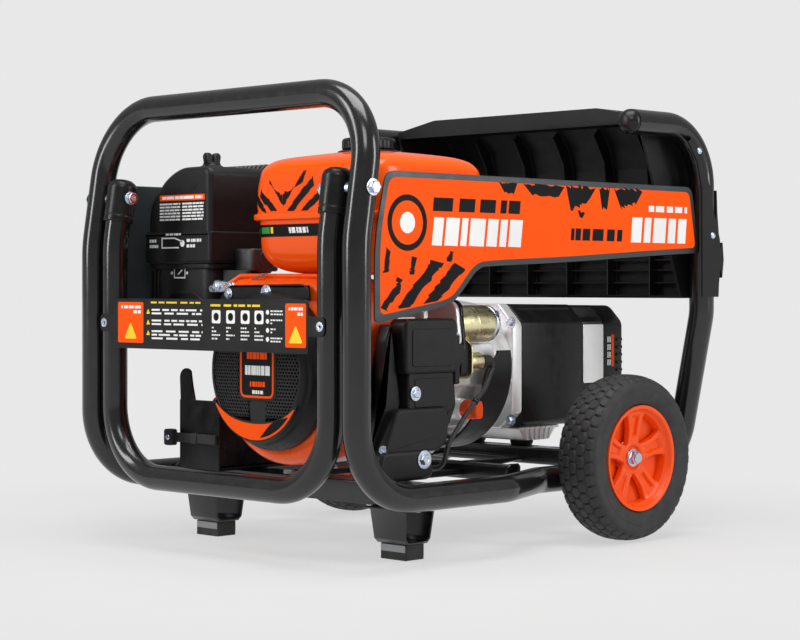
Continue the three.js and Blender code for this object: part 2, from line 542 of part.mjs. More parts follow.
const socketY = [-120, -30], socketZ = 455, plateFront = 772 + gap;
const sockets = socketY.map((y) => rod('x', 30, plateFront + 1, 785, [0, y, socketZ], 20));
part('socket_plate', 'darkPanel', cut(join(slab('yz', roundRect(-190, 190, 385, 530, 8), plateFront, plateFront + 3),
  ...sockets), ...socketY.map((y) => rod('x', 20, 778, 790, [0, y, socketZ], 16))));
const flapHinge = socketZ + 34;
['near_socket_flap', 'middle_socket_flap'].forEach((name, i) => {
  part(name, 'blackPlastic', join(rod('x', 31, 785 + gap, rearmost, [0, socketY[i], socketZ], 20),
    box(785 + gap, rearmost, socketY[i] - 10, socketY[i] + 10, flapHinge - 7, flapHinge + 3)));
});
part('breaker_toggle', 'orange', join(rod('y', 6, 52, 68, [782, 0, 455], 12), box(782, 791, 54, 66, 452, 458)));
part('start_key', 'zinc', join(rod('x', 9, plateFront + 3 + gap, 781, [0, 140, 455], 16),
  box(780, 790, 138.5, 141.5, 444, 466)));

export default group;
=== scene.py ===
# %% [markdown]
# # A portable generator, piece by piece
# The model we start from is a correct but plain engineering frame: tubes with few sides, flat colours and no
# stickers. This lesson keeps its places and sizes, and rebuilds every surface that shows as a smooth one.
# First the frame is loaded.

# %% Load the frame
import json
import math

import bmesh
import bpy
import numpy as np
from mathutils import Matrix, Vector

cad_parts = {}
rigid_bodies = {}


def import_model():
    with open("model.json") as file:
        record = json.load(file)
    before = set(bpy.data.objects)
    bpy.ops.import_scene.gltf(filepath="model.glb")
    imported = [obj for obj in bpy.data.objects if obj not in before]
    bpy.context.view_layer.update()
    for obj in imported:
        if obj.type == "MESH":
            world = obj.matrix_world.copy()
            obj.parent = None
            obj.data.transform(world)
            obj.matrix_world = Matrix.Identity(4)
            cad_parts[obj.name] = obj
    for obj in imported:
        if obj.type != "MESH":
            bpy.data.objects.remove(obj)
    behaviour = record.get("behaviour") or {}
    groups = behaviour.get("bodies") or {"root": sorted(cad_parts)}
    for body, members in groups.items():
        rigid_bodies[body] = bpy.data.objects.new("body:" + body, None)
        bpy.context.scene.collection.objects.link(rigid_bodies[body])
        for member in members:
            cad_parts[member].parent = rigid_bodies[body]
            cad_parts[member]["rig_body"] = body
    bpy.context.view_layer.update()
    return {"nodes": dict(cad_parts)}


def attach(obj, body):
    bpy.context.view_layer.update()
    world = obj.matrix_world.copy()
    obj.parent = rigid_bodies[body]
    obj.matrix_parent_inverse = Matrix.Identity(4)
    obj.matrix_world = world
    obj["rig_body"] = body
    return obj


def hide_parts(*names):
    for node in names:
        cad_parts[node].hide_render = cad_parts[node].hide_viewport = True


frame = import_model()
nodes = frame["nodes"]

# %% [markdown]
# The maker of this machine measures along the frame from the front hoop, in millimetres. The shared frame is
# in metres with its origin in the middle of the plan. One function carries points from the first to the
# second, so every number below can be read like a workshop drawing.

# %% Units and principal sizes
HOOP_X = 385.75                    # front hoop to the origin of the shared frame
TUBE, HANDLE = 19.0, 18.0          # tube radii
HALF, INNER = 276.0, 226.0         # frame tubes and wheel-side rails from the middle plane
RAIL_Z, KINK_Z, TOP_Z, LEAN = 92.5, 432.0, 629.0, 31.0
CRANK_Y, CRANK_Z = -33.0, 255.0
WHEEL_X, WHEEL_Z, WHEEL_Y = 540.0, 122.0, 285.0
PIVOT_Z = 500.0
PIVOT_X = LEAN * (PIVOT_Z - KINK_Z) / (TOP_Z - KINK_Z)
HANDLE_Y, FOOT_Y = 228.0, 196.0      # handle legs and feet from the middle plane
SIDES = (("near", -1), ("far", 1))


def metres(points):
    """Row frame point = (workshop point - (385.75, 0, 0)) / 1000."""
    return (np.asarray(points, float) - [HOOP_X, 0.0, 0.0]) * 0.001


# %% [markdown]
# The camera stands low at the front corner and looks level, so upright tubes stay upright in the picture.
# Its lens is long, as in a catalogue. A small shift centres the machine in the frame without tilting the
# camera.

# %% Camera
camera_data = bpy.data.cameras.new("camera")
camera_data.sensor_width = 36.0
camera_data.lens = 93.22
camera_data.shift_y = -0.04366
camera_data.dof.use_dof = False
camera_data.clip_end = 100.0
camera = bpy.data.objects.new("camera", camera_data)
camera.location = (-2.24025, -2.18507, 0.37417)
camera.rotation_euler = (math.pi / 2, 0.0, math.radians(44.628 - 90.0))
bpy.context.scene.collection.objects.link(camera)
bpy.context.scene.camera = camera
print("camera at", [round(v, 3) for v in camera.location])

# %% [markdown]
# Every surface in this lesson is a grid of points: one parameter runs along it, the other runs across.
# `grid` turns such an array into faces. A shell is then simply a pair (points, faces), and shells can be
# added together into one piece.

# %% Shells from grids


def grid(points, wrap_u=False, wrap_v=False, ends=False):
    """Quads between neighbours of P[u, v]; wrap joins the last row to the first, ends closes both ends."""
    points = np.asarray(points, float)
    nu, nv = points.shape[:2]
    u, v = np.meshgrid(np.arange(nu - (not wrap_u)), np.arange(nv - (not wrap_v)), indexing="ij")
    u2, v2 = (u + 1) % nu, (v + 1) % nv
    quads = np.stack([u * nv + v, u2 * nv + v, u2 * nv + v2, u * nv + v2], -1).reshape(-1, 4)
    faces = quads.tolist()
    if ends:
        faces += [list(range(nv))[::-1], list(range((nu - 1) * nv, nu * nv))]
    return points.reshape(-1, 3), faces


def together(shells):
    """All shells as one, with each face list moved along by the points before it."""
    points, faces, base = [], [], 0
    for shell_points, shell_faces in shells:
        points.append(shell_points)
        faces += [[i + base for i in face] for face in shell_faces]
        base += len(shell_points)
    return np.concatenate(points), faces


def turned_about(shell, axis, angle, centre):
    """Rodrigues: p' = c + (p-c) cos a + k x (p-c) sin a + k (k.(p-c)) (1 - cos a)."""
    k = np.asarray(axis, float) / np.linalg.norm(axis)
    p = shell[0] - centre
    c, s = math.cos(angle), math.sin(angle)
    return (np.asarray(centre) + p * c + np.cross(k, p) * s + np.outer(p @ k, k) * (1 - c), shell[1])


def moved(shell, offset):
    """p' = p + offset."""
    return shell[0] + np.asarray(offset, float), shell[1]


def other_side(shell):
    """(x, y, z) -> (x, -y, z), with each face read backwards so that it still points out."""
    return shell[0] * [1, -1, 1], [face[::-1] for face in shell[1]]


def as_drawn(shell):
    """The shell itself, for the side that it was drawn on."""
    return shell


def on_side(shell, sign):
    """A shell drawn for the far side (sign 1), mirrored where sign is -1."""
    return shell if sign > 0 else other_side(shell)


PAIR = (("near", as_drawn), ("far", other_side))


# %% [markdown]
# A piece is finished in one place: points are welded, loose slivers dissolved, faces turned outwards, sharp
# edges marked by angle, and the object is hung on the body it moves with. If it stands for plain frame
# nodes, those are hidden.

# %% From shells to a finished piece


def piece(name, shells, material, body="machine", stands_for=(), angle=35):
    """One object at the origin from shells given in workshop millimetres."""
    points, faces = together(shells if isinstance(shells, list) else [shells])
    mesh = bpy.data.meshes.new(name)
    mesh.from_pydata(metres(points).tolist(), [], faces)
    soup = bmesh.new()
    soup.from_mesh(mesh)
    bmesh.ops.remove_doubles(soup, verts=soup.verts, dist=2e-6)
    bmesh.ops.dissolve_degenerate(soup, edges=soup.edges, dist=1e-6)
    bmesh.ops.recalc_face_normals(soup, faces=soup.faces)
    soup.to_mesh(mesh)
    soup.free()
    return finish_piece(name, mesh, material, body, stands_for, angle)


def finish_piece(name, mesh, material, body, stands_for, angle, bevel=0.0):
    """Smooth shading with edges over the angle kept sharp, an optional bevel, material and body."""
    mesh.shade_smooth()
    mesh.set_sharp_from_angle(angle=math.radians(angle))
    mesh.materials.append(material)
    obj = bpy.data.objects.new(name, mesh)
    bpy.context.scene.collection.objects.link(obj)
    if bevel:
        rounding = obj.modifiers.new("rounded edges", "BEVEL")
        rounding.width, rounding.segments = bevel * 0.001, 2
        rounding.limit_method, rounding.angle_limit = "ANGLE", math.radians(30)
        rounding.harden_normals = False
    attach(obj, body)
    if stands_for:
        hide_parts(*stands_for)
    print(f"{name}: {len(mesh.polygons)} faces")
    return obj


def softened(node, material, bevel=1.2, name=None):
    """A welded copy of a plain node whose flat faces are whole again and whose edges are rounded."""
    source = nodes[node]
    soup = bmesh.new()
    soup.from_mesh(source.data)
    bmesh.ops.remove_doubles(soup, verts=soup.verts, dist=1e-5)
    bmesh.ops.dissolve_limit(soup, angle_limit=math.radians(1.0), verts=soup.verts, edges=soup.edges)
    mesh = bpy.data.meshes.new(node + "_rounded")
    soup.to_mesh(mesh)
    soup.free()
    mesh.materials.clear()
    return finish_piece(name or node + "_rounded", mesh, material, source["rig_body"], (node,), 35,
                        bevel)


# %% [markdown]
# Four shapes cover most of the machine: a profile carried along a bent path (tubes), a profile turned about
# an axis (caps, knobs, motors), a plate cut to an outline with rounded rims (panels, brackets), and a stack
# of rounded sections (tank, battery).

# %% Tubes: a ring carried along a path


def bent(corners, step=5.0):
    """Corner points (x, y, z, bend radius) to a path: each bend is the arc tangent to both legs."""
    corners = [np.asarray(c, float) for c in corners]
    path = [corners[0][None, :3]]
    for before, at, after in zip(corners, corners[1:], corners[2:]):
        back, ahead = before[:3] - at[:3], after[:3] - at[:3]
        back, ahead = back / np.linalg.norm(back), ahead / np.linalg.norm(ahead)
        half = math.acos(np.clip(back @ ahead, -1, 1)) / 2
        middle = at[:3] + (back + ahead) / np.linalg.norm(back + ahead) * at[3] / math.sin(half)
        start, end = [at[:3] + d * at[3] / math.tan(half) - middle for d in (back, ahead)]
        total = math.pi - 2 * half
        t = np.linspace(0, 1, max(3, int(math.degrees(total) / step) + 2))[:, None]
        arc = (np.sin((1 - t) * total) * start + np.sin(t * total) * end) / math.sin(total)
        path.append(middle + arc)
    path.append(corners[-1][None, :3])
    return np.concatenate(path)


def carried(path, ring):
    """P[u, v] = path[u] + ring[v].a(u) + ring[v].b(u): a and b turn along with the path, never twisted."""
    ahead = np.gradient(path, axis=0)
    ahead /= np.linalg.norm(ahead, axis=1)[:, None]
    side = np.cross([0, 0, 1.0], ahead[0])
    side = side if np.linalg.norm(side) > 0.1 else np.cross([0, 1.0, 0], ahead[0])
    sides = []
    for direction in ahead:
        side = side - direction * (side @ direction)
        side = side / np.linalg.norm(side)
        sides.append(side)
    a = np.array(sides)
    b = np.cross(ahead, a)
    ring = np.broadcast_to(ring, (len(path),) + np.shape(ring)[-2:])
    return path[:, None] + ring[..., :1] * a[:, None] + ring[..., 1:] * b[:, None]


def circle(radius, sides=36):
    """(r cos t, r sin t)."""
    t = np.linspace(0, 2 * np.pi, sides, endpoint=False)
    return np.stack([np.cos(t), np.sin(t)], -1) * radius


def tube(corners, radius, sides=36, step=5.0):
    """A closed round bar or tube along bent corners."""
    return grid(carried(bent(corners, step), circle(radius, sides)), wrap_v=True, ends=True)


# %% Turned parts
AXES = {"x": np.eye(3)[[0, 1, 2]], "y": np.eye(3)[[1, 2, 0]], "z": np.eye(3)[[2, 0, 1]]}


def turned(profile, axis, centre, sides=48, ripple=None):
    """P[u, v] = c + h(v) k + r(v) (cos u i + sin u j), where ripple(u) scales the radius."""
    k, i, j = AXES[axis] if isinstance(axis, str) else axis
    profile = np.asarray(profile, float)
    u = np.linspace(0, 2 * np.pi, sides, endpoint=False)[:, None, None]
    r = profile[None, :, :1] * (1.0 if ripple is None else ripple(u))
    return grid(np.asarray(centre) + profile[None, :, 1:] * k + r * (np.cos(u) * i + np.sin(u) * j),
                wrap_u=True)


def softly(profile, radius=1.0, steps=3):
    """The same profile with each inner corner replaced by a small arc."""
    p = np.asarray(profile, float)
    out = [p[:1]]
    for before, at, after in zip(p, p[1:], p[2:]):
        back, ahead = before - at, after - at
        reach = min(radius, np.linalg.norm(back) * 0.45, np.linalg.norm(ahead) * 0.45)
        start = at + back / np.linalg.norm(back) * reach
        end = at + ahead / np.linalg.norm(ahead) * reach
        t = np.linspace(0, 1, steps + 1)[:, None]
        out.append((1 - t) ** 2 * start + 2 * t * (1 - t) * at + t ** 2 * end)
    out.append(p[-1:])
    return np.concatenate(out)


# %% Plates


def rounded(outline, radius=4.0, steps=4):
    """Each corner of a closed outline becomes a short curve; radius may be one number or one per corner."""
    p = np.asarray(outline, float)
    radii = np.broadcast_to(radius, len(p))
    out = []
    for before, at, after, r in zip(np.roll(p, 1, 0), p, np.roll(p, -1, 0), radii):
        back, ahead = before - at, after - at
        lb, la = np.linalg.norm(back), np.linalg.norm(ahead)
        reach = min(r, lb * 0.48, la * 0.48)
        t = np.linspace(0, 1, steps + 1)[:, None]
        start, end = at + back / lb * reach, at + ahead / la * reach
        out.append((1 - t) ** 2 * start + 2 * t * (1 - t) * at + t ** 2 * end)
    return np.concatenate(out)


def inset(outline, depth):
    """Moves points inwards along the mean of their edge normals, by depth over the cosine between them."""
    p = np.asarray(outline, float)
    ahead = np.roll(p, -1, 0) - p
    ahead /= np.linalg.norm(ahead, axis=1)[:, None] + 1e-12
    area = np.sum(p[:, 0] * np.roll(p[:, 1], -1) - np.roll(p[:, 0], -1) * p[:, 1])
    n = np.stack([-ahead[:, 1], ahead[:, 0]], -1) * np.sign(area)
    mean = n + np.roll(n, 1, 0)
    length = np.linalg.norm(mean, axis=1)[:, None]
    mean /= length + 1e-12
    return p + mean * depth / np.clip(length / 2, 0.6, 1.0)


LIE = {"xy": ([1, 0, 0], [0, 1, 0], [0, 0, 1]), "xz": ([1, 0, 0], [0, 0, 1], [0, 1, 0]),
       "yz": ([0, 1, 0], [0, 0, 1], [1, 0, 0])}
FLAT_RING = 0.3


def plate(outline, lie, low, high, rim=1.0, steps=3, rim_low=None):
    """The outline carried from level low to high. Near each face it draws in along a quarter circle of radius
    rim, and a narrow flat ring inside each rim keeps the shading of the flat face even."""
    a, b, w = [np.array(v, float) for v in LIE[lie]]
    rim_low = rim if rim_low is None else rim_low
    t = np.linspace(0, np.pi / 2, steps + 1)
    draws = [(rim_low * (1 - math.sin(q)), low + rim_low * (1 - math.cos(q)))
             for q in t] if rim_low else [(0, low)]
    draws += [(rim * (1 - math.cos(q)), high - rim * (1 - math.sin(q))) for q in t] if rim else [(0, high)]
    if rim_low > FLAT_RING:
        draws.insert(0, (rim_low + FLAT_RING, low))
    if rim > FLAT_RING:
        draws.append((rim + FLAT_RING, high))
    rows = []
    for depth, level in draws:
        p = inset(outline, depth) if depth > 1e-6 else np.asarray(outline, float)
        rows.append(p[:, :1] * a + p[:, 1:] * b + level * w)
    return grid(np.array(rows), wrap_v=True, ends=True)


def block(x0, x1, y0, y1, z0, z1, corner=2.0, rim=1.0, lie="xy"):
    """A moulded block: a plate with a rounded rectangular outline."""
    u0, u1, v0, v1, w0, w1 = {"xy": (x0, x1, y0, y1, z0, z1), "xz": (x0, x1, z0, z1, y0, y1),
                              "yz": (y0, y1, z0, z1, x0, x1)}[lie]
    outline = rounded([[u0, v0], [u1, v0], [u1, v1], [u0, v1]], corner)
    return plate(outline, lie, w0, w1, rim)


# %% Stacked sections


def squared(t, half_a, half_b, power):
    """Superellipse |x/a|^n + |y/b|^n = 1 at angle t: a and b are the half widths, n how square it is."""
    c, s = np.cos(t), np.sin(t)
    r = (np.abs(c) ** power + np.abs(s) ** power) ** (-1.0 / power)
    return half_a * c * r, half_b * s * r


def stacked(levels, sides=96):
    """Levels (z, x0, x1, y0, y1, n) as superellipses joined upwards and closed at both ends."""
    t = np.linspace(0, 2 * np.pi, sides, endpoint=False)
    rows = []
    for z, x0, x1, y0, y1, power in levels:
        x, y = squared(t, (x1 - x0) / 2, (y1 - y0) / 2, power)
        rows.append(np.stack([(x0 + x1) / 2 + x, (y0 + y1) / 2 + y, np.full_like(t, z)], -1))
    return grid(np.array(rows), wrap_v=True, ends=True)


def between(levels, count):
    """The same levels resampled smoothly (cubic through the rows, by their order)."""
    rows = np.asarray(levels, float)
    s = np.linspace(0, len(rows) - 1, count)
    i = np.clip(s.astype(int), 0, len(rows) - 2)
    t = (s - i)[:, None]
    p0, p1 = rows[np.clip(i - 1, 0, None)], rows[i]
    p2, p3 = rows[i + 1], rows[np.clip(i + 2, None, len(rows) - 1)]
    return p1 + 0.5 * t * (p2 - p0 + t * (2 * p0 - 5 * p1 + 4 * p2 - p3 + t * (3 * (p1 - p2) + p3 - p0)))


# %% [markdown]
# Finishes are node materials on Object coordinates, so a pattern keeps its real size on every piece. Each
# one has three layers, as real surfaces do: a slow change of colour, a change of gloss from handling and
# dust, and a fine relief, such as orange peel in paint, grain in mouldings or the skin of a casting.

# %% One recipe for all finishes


def colour(r, g, b):
    """Screen colour 0..255 to the linear value that a shader wants."""
    c = np.array([r, g, b]) / 255.0
    return tuple(np.where(c <= 0.04045, c / 12.92, ((c + 0.055) / 1.055) ** 2.4)) + (1.0,)


def finish(name, base, other, rough=(0.3, 0.5), metal=0.0, relief=(600.0, 0.15), patch=9.0, coat=0.0,
           cells=False, scuffs=0.0, dust=0.0, specular=0.5):
    """Principled material: colour from slow noise, gloss from middle noise, bump from fine noise or
    cells."""
    material = bpy.data.materials.new(name)
    material.use_nodes = True
    tree_nodes, links = material.node_tree.nodes, material.node_tree.links
    shader = tree_nodes["Principled BSDF"]
    shader.inputs["Metallic"].default_value = metal
    shader.inputs["Coat Weight"].default_value = coat
    shader.inputs["Coat Roughness"].default_value = 0.08
    shader.inputs["Specular IOR Level"].default_value = specular
    place = tree_nodes.new("ShaderNodeTexCoord").outputs["Object"]

    def noise(scale, detail, kind="ShaderNodeTexNoise"):
        node = tree_nodes.new(kind)
        node.inputs["Scale"].default_value = scale
        if kind == "ShaderNodeTexNoise":
            node.inputs["Detail"].default_value = detail
        links.new(place, node.inputs["Vector"])
        return node.outputs[0]

    def ranged(value, low, high, to_low, to_high):
        node = tree_nodes.new("ShaderNodeMapRange")
        for key, number in zip(("From Min", "From Max", "To Min", "To Max"), (low, high, to_low, to_high)):
            node.inputs[key].default_value = number
        links.new(value, node.inputs["Value"])
        return node.outputs["Result"]

    def mixed(factor, first, second):
        node = tree_nodes.new("ShaderNodeMix")
        node.data_type = "RGBA"
        links.new(factor, node.inputs["Factor"])
        for socket, value in ((node.inputs[6], first), (node.inputs[7], second)):
            if isinstance(value, tuple):
                socket.default_value = value
            else:
                links.new(value, socket)
        return node.outputs[2]

    tint = mixed(ranged(noise(patch, 3.0), 0.35, 0.65, 0.0, 1.0), base, other)
    wear = ranged(noise(patch * 6, 8.0), 0.35, 0.65, rough[0], rough[1])
    if scuffs:
        scratch = tree_nodes.new("ShaderNodeTexNoise")
        stretch = tree_nodes.new("ShaderNodeMapping")
        stretch.inputs["Scale"].default_value = (30.0, 30.0, 420.0)
        stretch.inputs["Rotation"].default_value = (0.4, 0.5, 0.3)
        links.new(place, stretch.inputs["Vector"])
        links.new(stretch.outputs[0], scratch.inputs["Vector"])
        scratch.inputs["Scale"].default_value = 1.0
        lines = ranged(scratch.outputs[0], 0.66, 0.74, 0.0, scuffs)
        tint = mixed(lines, tint, tuple(min(1.0, c * 0.5 + 0.22) for c in base[:3]) + (1.0,))
    if dust:
        facing = tree_nodes.new("ShaderNodeSeparateXYZ")
        links.new(tree_nodes.new("ShaderNodeNewGeometry").outputs["Normal"], facing.inputs[0])
        settled = tree_nodes.new("ShaderNodeMath")
        settled.operation = "MULTIPLY"
        links.new(ranged(facing.outputs["Z"], 0.3, 1.0, 0.0, dust), settled.inputs[0])
        links.new(ranged(noise(40.0, 6.0), 0.4, 0.7, 0.2, 1.0), settled.inputs[1])
        tint = mixed(settled.outputs[0], tint, (0.42, 0.40, 0.37, 1.0))
    links.new(tint, shader.inputs["Base Color"])
    links.new(wear, shader.inputs["Roughness"])
    bump = tree_nodes.new("ShaderNodeBump")
    bump.inputs["Strength"].default_value = relief[1]
    bump.inputs["Distance"].default_value = 0.0006
    fine = noise(relief[0], 2.0, "ShaderNodeTexVoronoi" if cells else "ShaderNodeTexNoise")
    links.new(fine, bump.inputs["Height"])
    links.new(bump.outputs["Normal"], shader.inputs["Normal"])
    return material


# %% The finishes of this machine
tube_paint = finish("tube_powder_gloss", colour(15, 15, 16), colour(20, 20, 21), (0.16, 0.24),
                    relief=(700, 0.02), coat=0.3, scuffs=0.03, dust=0.02)
moulding = finish("black_moulding", colour(19, 19, 20), colour(25, 25, 26), (0.36, 0.5), relief=(1500, 0.14),
                  scuffs=0.04, dust=0.02, specular=0.28, cells=True)
smooth_black = finish("black_moulding_smooth", colour(15, 15, 16), colour(21, 21, 22), (0.22, 0.36),
                      relief=(700, 0.04), scuffs=0.04, dust=0.02, specular=0.32)
black_sheet = finish("black_painted_sheet", colour(13, 13, 14), colour(19, 19, 20), (0.28, 0.42),
                     relief=(700, 0.04), scuffs=0.04, dust=0.02, specular=0.28)
panel_grey = finish("grey_side_panel", colour(44, 49, 51), colour(50, 55, 57), (0.36, 0.5),
                    relief=(900, 0.06), scuffs=0.05, dust=0.02)
tank_orange = finish("tank_orange_gloss", colour(255, 90, 0), colour(255, 85, 0), (0.18, 0.26),
                     relief=(260, 0.01), coat=0.15, specular=0.25)
housing_orange = finish("blower_orange_paint", colour(255, 90, 2), colour(246, 84, 2), (0.24, 0.36),
                        relief=(380, 0.03), coat=0.15, scuffs=0.03, specular=0.35)
rim_orange = finish("rim_orange_moulding", colour(250, 84, 6), colour(240, 78, 4), (0.3, 0.42),
                    relief=(800, 0.05), scuffs=0.04, specular=0.35)
print_orange = finish("sticker_orange", colour(255, 86, 0), colour(252, 83, 0), (0.42, 0.54),
                      relief=(1200, 0.02), scuffs=0.02, specular=0.1)
print_black = finish("sticker_black", colour(9, 9, 10), colour(14, 14, 15), (0.4, 0.52), relief=(1200, 0.02),
                     specular=0.12)
print_white = finish("sticker_white", colour(244, 244, 242), colour(232, 232, 230), (0.3, 0.42),
                     relief=(1200, 0.03))
print_yellow = finish("sticker_yellow", colour(250, 214, 20), colour(240, 200, 16), (0.3, 0.42),
                      relief=(1200, 0.03))
print_grey = finish("sticker_grey", colour(150, 152, 154), colour(135, 137, 139), (0.3, 0.42),
                    relief=(1200, 0.03))
print_green = finish("sticker_green", colour(40, 150, 60), colour(34, 135, 54), (0.3, 0.42),
                     relief=(1200, 0.03))
tyre_rubber = finish("tyre_rubber", colour(32, 32, 33), colour(42, 42, 42), (0.55, 0.75),
                     relief=(1100, 0.25), dust=0.04, cells=True)
pad_rubber = finish("pad_rubber", colour(28, 28, 28), colour(40, 40, 39), (0.6, 0.8), relief=(900, 0.3),
                    dust=0.05)
cable_rubber = finish("cable_jacket", colour(22, 22, 23), colour(32, 32, 32), (0.4, 0.55),
                      relief=(900, 0.15))
zinc = finish("bright_zinc", colour(214, 222, 234), colour(196, 207, 224), (0.2, 0.34), 1.0, (900, 0.05),
              30.0)
aluminium = finish("cast_aluminium", colour(232, 232, 230), colour(214, 214, 214), (0.36, 0.5), 0.9,
                   (1100, 0.2), 22.0, cells=True)
machined = finish("machined_aluminium", colour(250, 250, 249), colour(240, 240, 240), (0.32, 0.4), 0.55,
                  (700, 0.005), 16.0)
pale_gold = finish("yellow_passivated_steel", colour(240, 228, 180), colour(226, 216, 176), (0.26, 0.36),
                   1.0, (700, 0.005), 26.0)
brass = finish("brass", colour(206, 160, 84), colour(178, 134, 66), (0.24, 0.4), 1.0, (900, 0.1), 30.0)
dark_iron = finish("dark_casting", colour(86, 87, 88), colour(60, 61, 62), (0.4, 0.62), 0.8, (1000, 0.4),
                   20.0, cells=True)
warm_red = finish("red_moulding", colour(190, 26, 20), colour(165, 20, 16), (0.35, 0.5), relief=(1000, 0.12))
print("finishes:", len(bpy.data.materials))

# %% [markdown]
# A product like this is shown on a pale sheet under large soft lamps. The sky gives an even wash, one lamp
# hangs over the machine and one stands on each side. Long lamps leave long soft highlights on round tubes.
# The sky is dimmer for the machine than for the eye, so black paint stays black. The floor glows softly away
# from the machine and so runs into the background without a line.

# %% Studio
world = bpy.data.worlds.new("studio")
world.use_nodes = True
PALE, ROOM_LIGHT = colour(232, 232, 232), 0.42
sky = world.node_tree
sky.nodes["Background"].inputs[0].default_value = PALE
dim = sky.nodes.new("ShaderNodeMapRange")
dim.inputs["To Min"].default_value, dim.inputs["To Max"].default_value = ROOM_LIGHT, 1.0
sky.links.new(sky.nodes.new("ShaderNodeLightPath").outputs["Is Camera Ray"], dim.inputs["Value"])
sky.links.new(dim.outputs["Result"], sky.nodes["Background"].inputs["Strength"])
bpy.context.scene.world = world
bpy.context.scene.view_settings.view_transform = "Standard"


def soft_lamp(name, at, towards, width, height, power):
    """A rectangular area lamp that faces the point towards."""
    data = bpy.data.lights.new(name, "AREA")
    data.shape, data.size, data.size_y, data.energy = "RECTANGLE", width, height, power
    lamp = bpy.data.objects.new(name, data)
    lamp.location = at
    direction = Vector(towards) - Vector(at)
    lamp.rotation_euler = direction.to_track_quat("-Z", "Y").to_euler()
    bpy.context.scene.collection.objects.link(lamp)


soft_lamp("overhead_lamp", (-0.3, -0.3, 2.3), (0, 0, 0.3), 1.6, 1.2, 36.0)
soft_lamp("left_lamp", (-2.2, 1.0, 1.3), (0, 0, 0.35), 0.5, 1.8, 26.0)
soft_lamp("right_lamp", (1.1, -2.4, 1.2), (0, 0, 0.3), 0.6, 1.6, 26.0)
soft_lamp("front_lamp", (-1.6, -1.4, 2.0), (0, 0, 0.3), 0.8, 0.8, 12.0)

floor_material = finish("pale_floor", colour(214, 214, 214), colour(210, 210, 210), (0.8, 0.9),
                        relief=(60, 0.02))
floor_nodes, floor_links = floor_material.node_tree.nodes, floor_material.node_tree.links
reach = floor_nodes.new("ShaderNodeVectorMath")
reach.operation = "LENGTH"
floor_links.new(floor_nodes.new("ShaderNodeTexCoord").outputs["Object"], reach.inputs[0])
fade = floor_nodes.new("ShaderNodeMapRange")
for socket, number in zip(("From Min", "From Max", "To Min", "To Max"), (0.45, 1.1, 0.7, 1.0)):
    fade.inputs[socket].default_value = number
floor_links.new(reach.outputs["Value"], fade.inputs["Value"])
glow, blend = floor_nodes.new("ShaderNodeEmission"), floor_nodes.new("ShaderNodeMixShader")
glow.inputs["Color"].default_value = PALE
floor_links.new(fade.outputs["Result"], blend.inputs[0])
floor_links.new(floor_nodes["Principled BSDF"].outputs[0], blend.inputs[1])
floor_links.new(glow.outputs[0], blend.inputs[2])
floor_links.new(blend.outputs[0], floor_nodes["Material Output"].inputs["Surface"])
floor_mesh = bpy.data.meshes.new("floor")
ring = np.concatenate([circle(r, 64) for r in (0.6, 2.0, 8.0, 60.0)])
floor_points, floor_faces = grid(np.c_[ring, np.zeros(len(ring))].reshape(4, 64, 3), wrap_v=True)
floor_mesh.from_pydata((floor_points - [0, 0, 0.0005]).tolist(), [], floor_faces + [list(range(64))])
floor_mesh.materials.append(floor_material)
floor = bpy.data.objects.new("floor", floor_mesh)
bpy.context.scene.collection.objects.link(floor)

# %% [markdown]
# ## Frame tubes
# The frame is three bent tubes: one hoop at the starter end, and one tube along each side that runs behind
# its wheel and up to the control panel. In Blender a bevelled curve would also do, but a ring carried along
# the bent path gives an exact mesh with the same bends a tube bender makes.

# %% Frame
hoop = tube([[250.2, -HALF, RAIL_Z], [0, -HALF, RAIL_Z, 100], [0, -HALF, KINK_Z, 200],
             [LEAN, -HALF, TOP_Z, 100], [LEAN, HALF, TOP_Z, 100], [0, HALF, KINK_Z, 200],
             [0, HALF, RAIL_Z, 100], [250.2, HALF, RAIL_Z]], TUBE - 0.12, 40, 4)
piece("front_hoop_tube", hoop, tube_paint, stands_for=("front_hoop",), angle=50)
rear = tube([[250.2, -HALF, RAIL_Z], [290, -HALF, RAIL_Z, 60], [410, -INNER, RAIL_Z, 60],
             [740, -INNER, RAIL_Z, 70], [740, -HALF, 330, 90], [740, -HALF, 616, 90], [566, -HALF, 616]],
            TUBE, 40, 4)
plug = turned(softly([[0, 548], [9, 549.5], [15, 554], [18.4, 560], [19, 565.6], [0, 565.8]], 2.0), "x",
              [0, -HALF, 616], 40)
for side, flip in PAIR:
    piece(f"{side}_rear_frame_tube", flip(rear), tube_paint,
          stands_for=(f"{side}_rear_tube",), angle=50)
    piece(f"{side}_tube_plug", flip(plug), smooth_black, stands_for=(f"{side}_tube_cap",))

# %% [markdown]
# Sheet-metal members join the tubes: a channel under the engine, two square bars, and the welded feet. Their
# plain nodes already have the right outline, so a welded copy with rounded edges is enough. Weld beads are
# rings with a ripple, laid where a bar meets a tube.

# %% Cross members and weld beads
BEAD = 2.6
for member in ("front_cross_member", "middle_cross_member", "rear_cross_member", "near_foot_bracket",
               "far_foot_bracket"):
    softened(member, tube_paint, 1.5)


def bead(outline, level):
    """A bead along an upright outline: offset (w cos t, w sin t), where w ripples by twelve percent."""
    p = np.asarray(outline, float)
    n = len(p)
    t = np.linspace(0, 2 * np.pi, 9)[:-1]
    w = BEAD * (1 + 0.12 * np.sin(np.arange(n) * 2.1))[:, None]
    a, b, k = [np.array(v, float) for v in LIE["xz"]]
    away = p - inset(p, 1.0)
    flat = p[:, None] + away[:, None] * (w * np.cos(t))[..., None]
    return grid(flat[..., :1] * a + flat[..., 1:] * b + (level + w * np.sin(t))[..., None] * k, True, True)


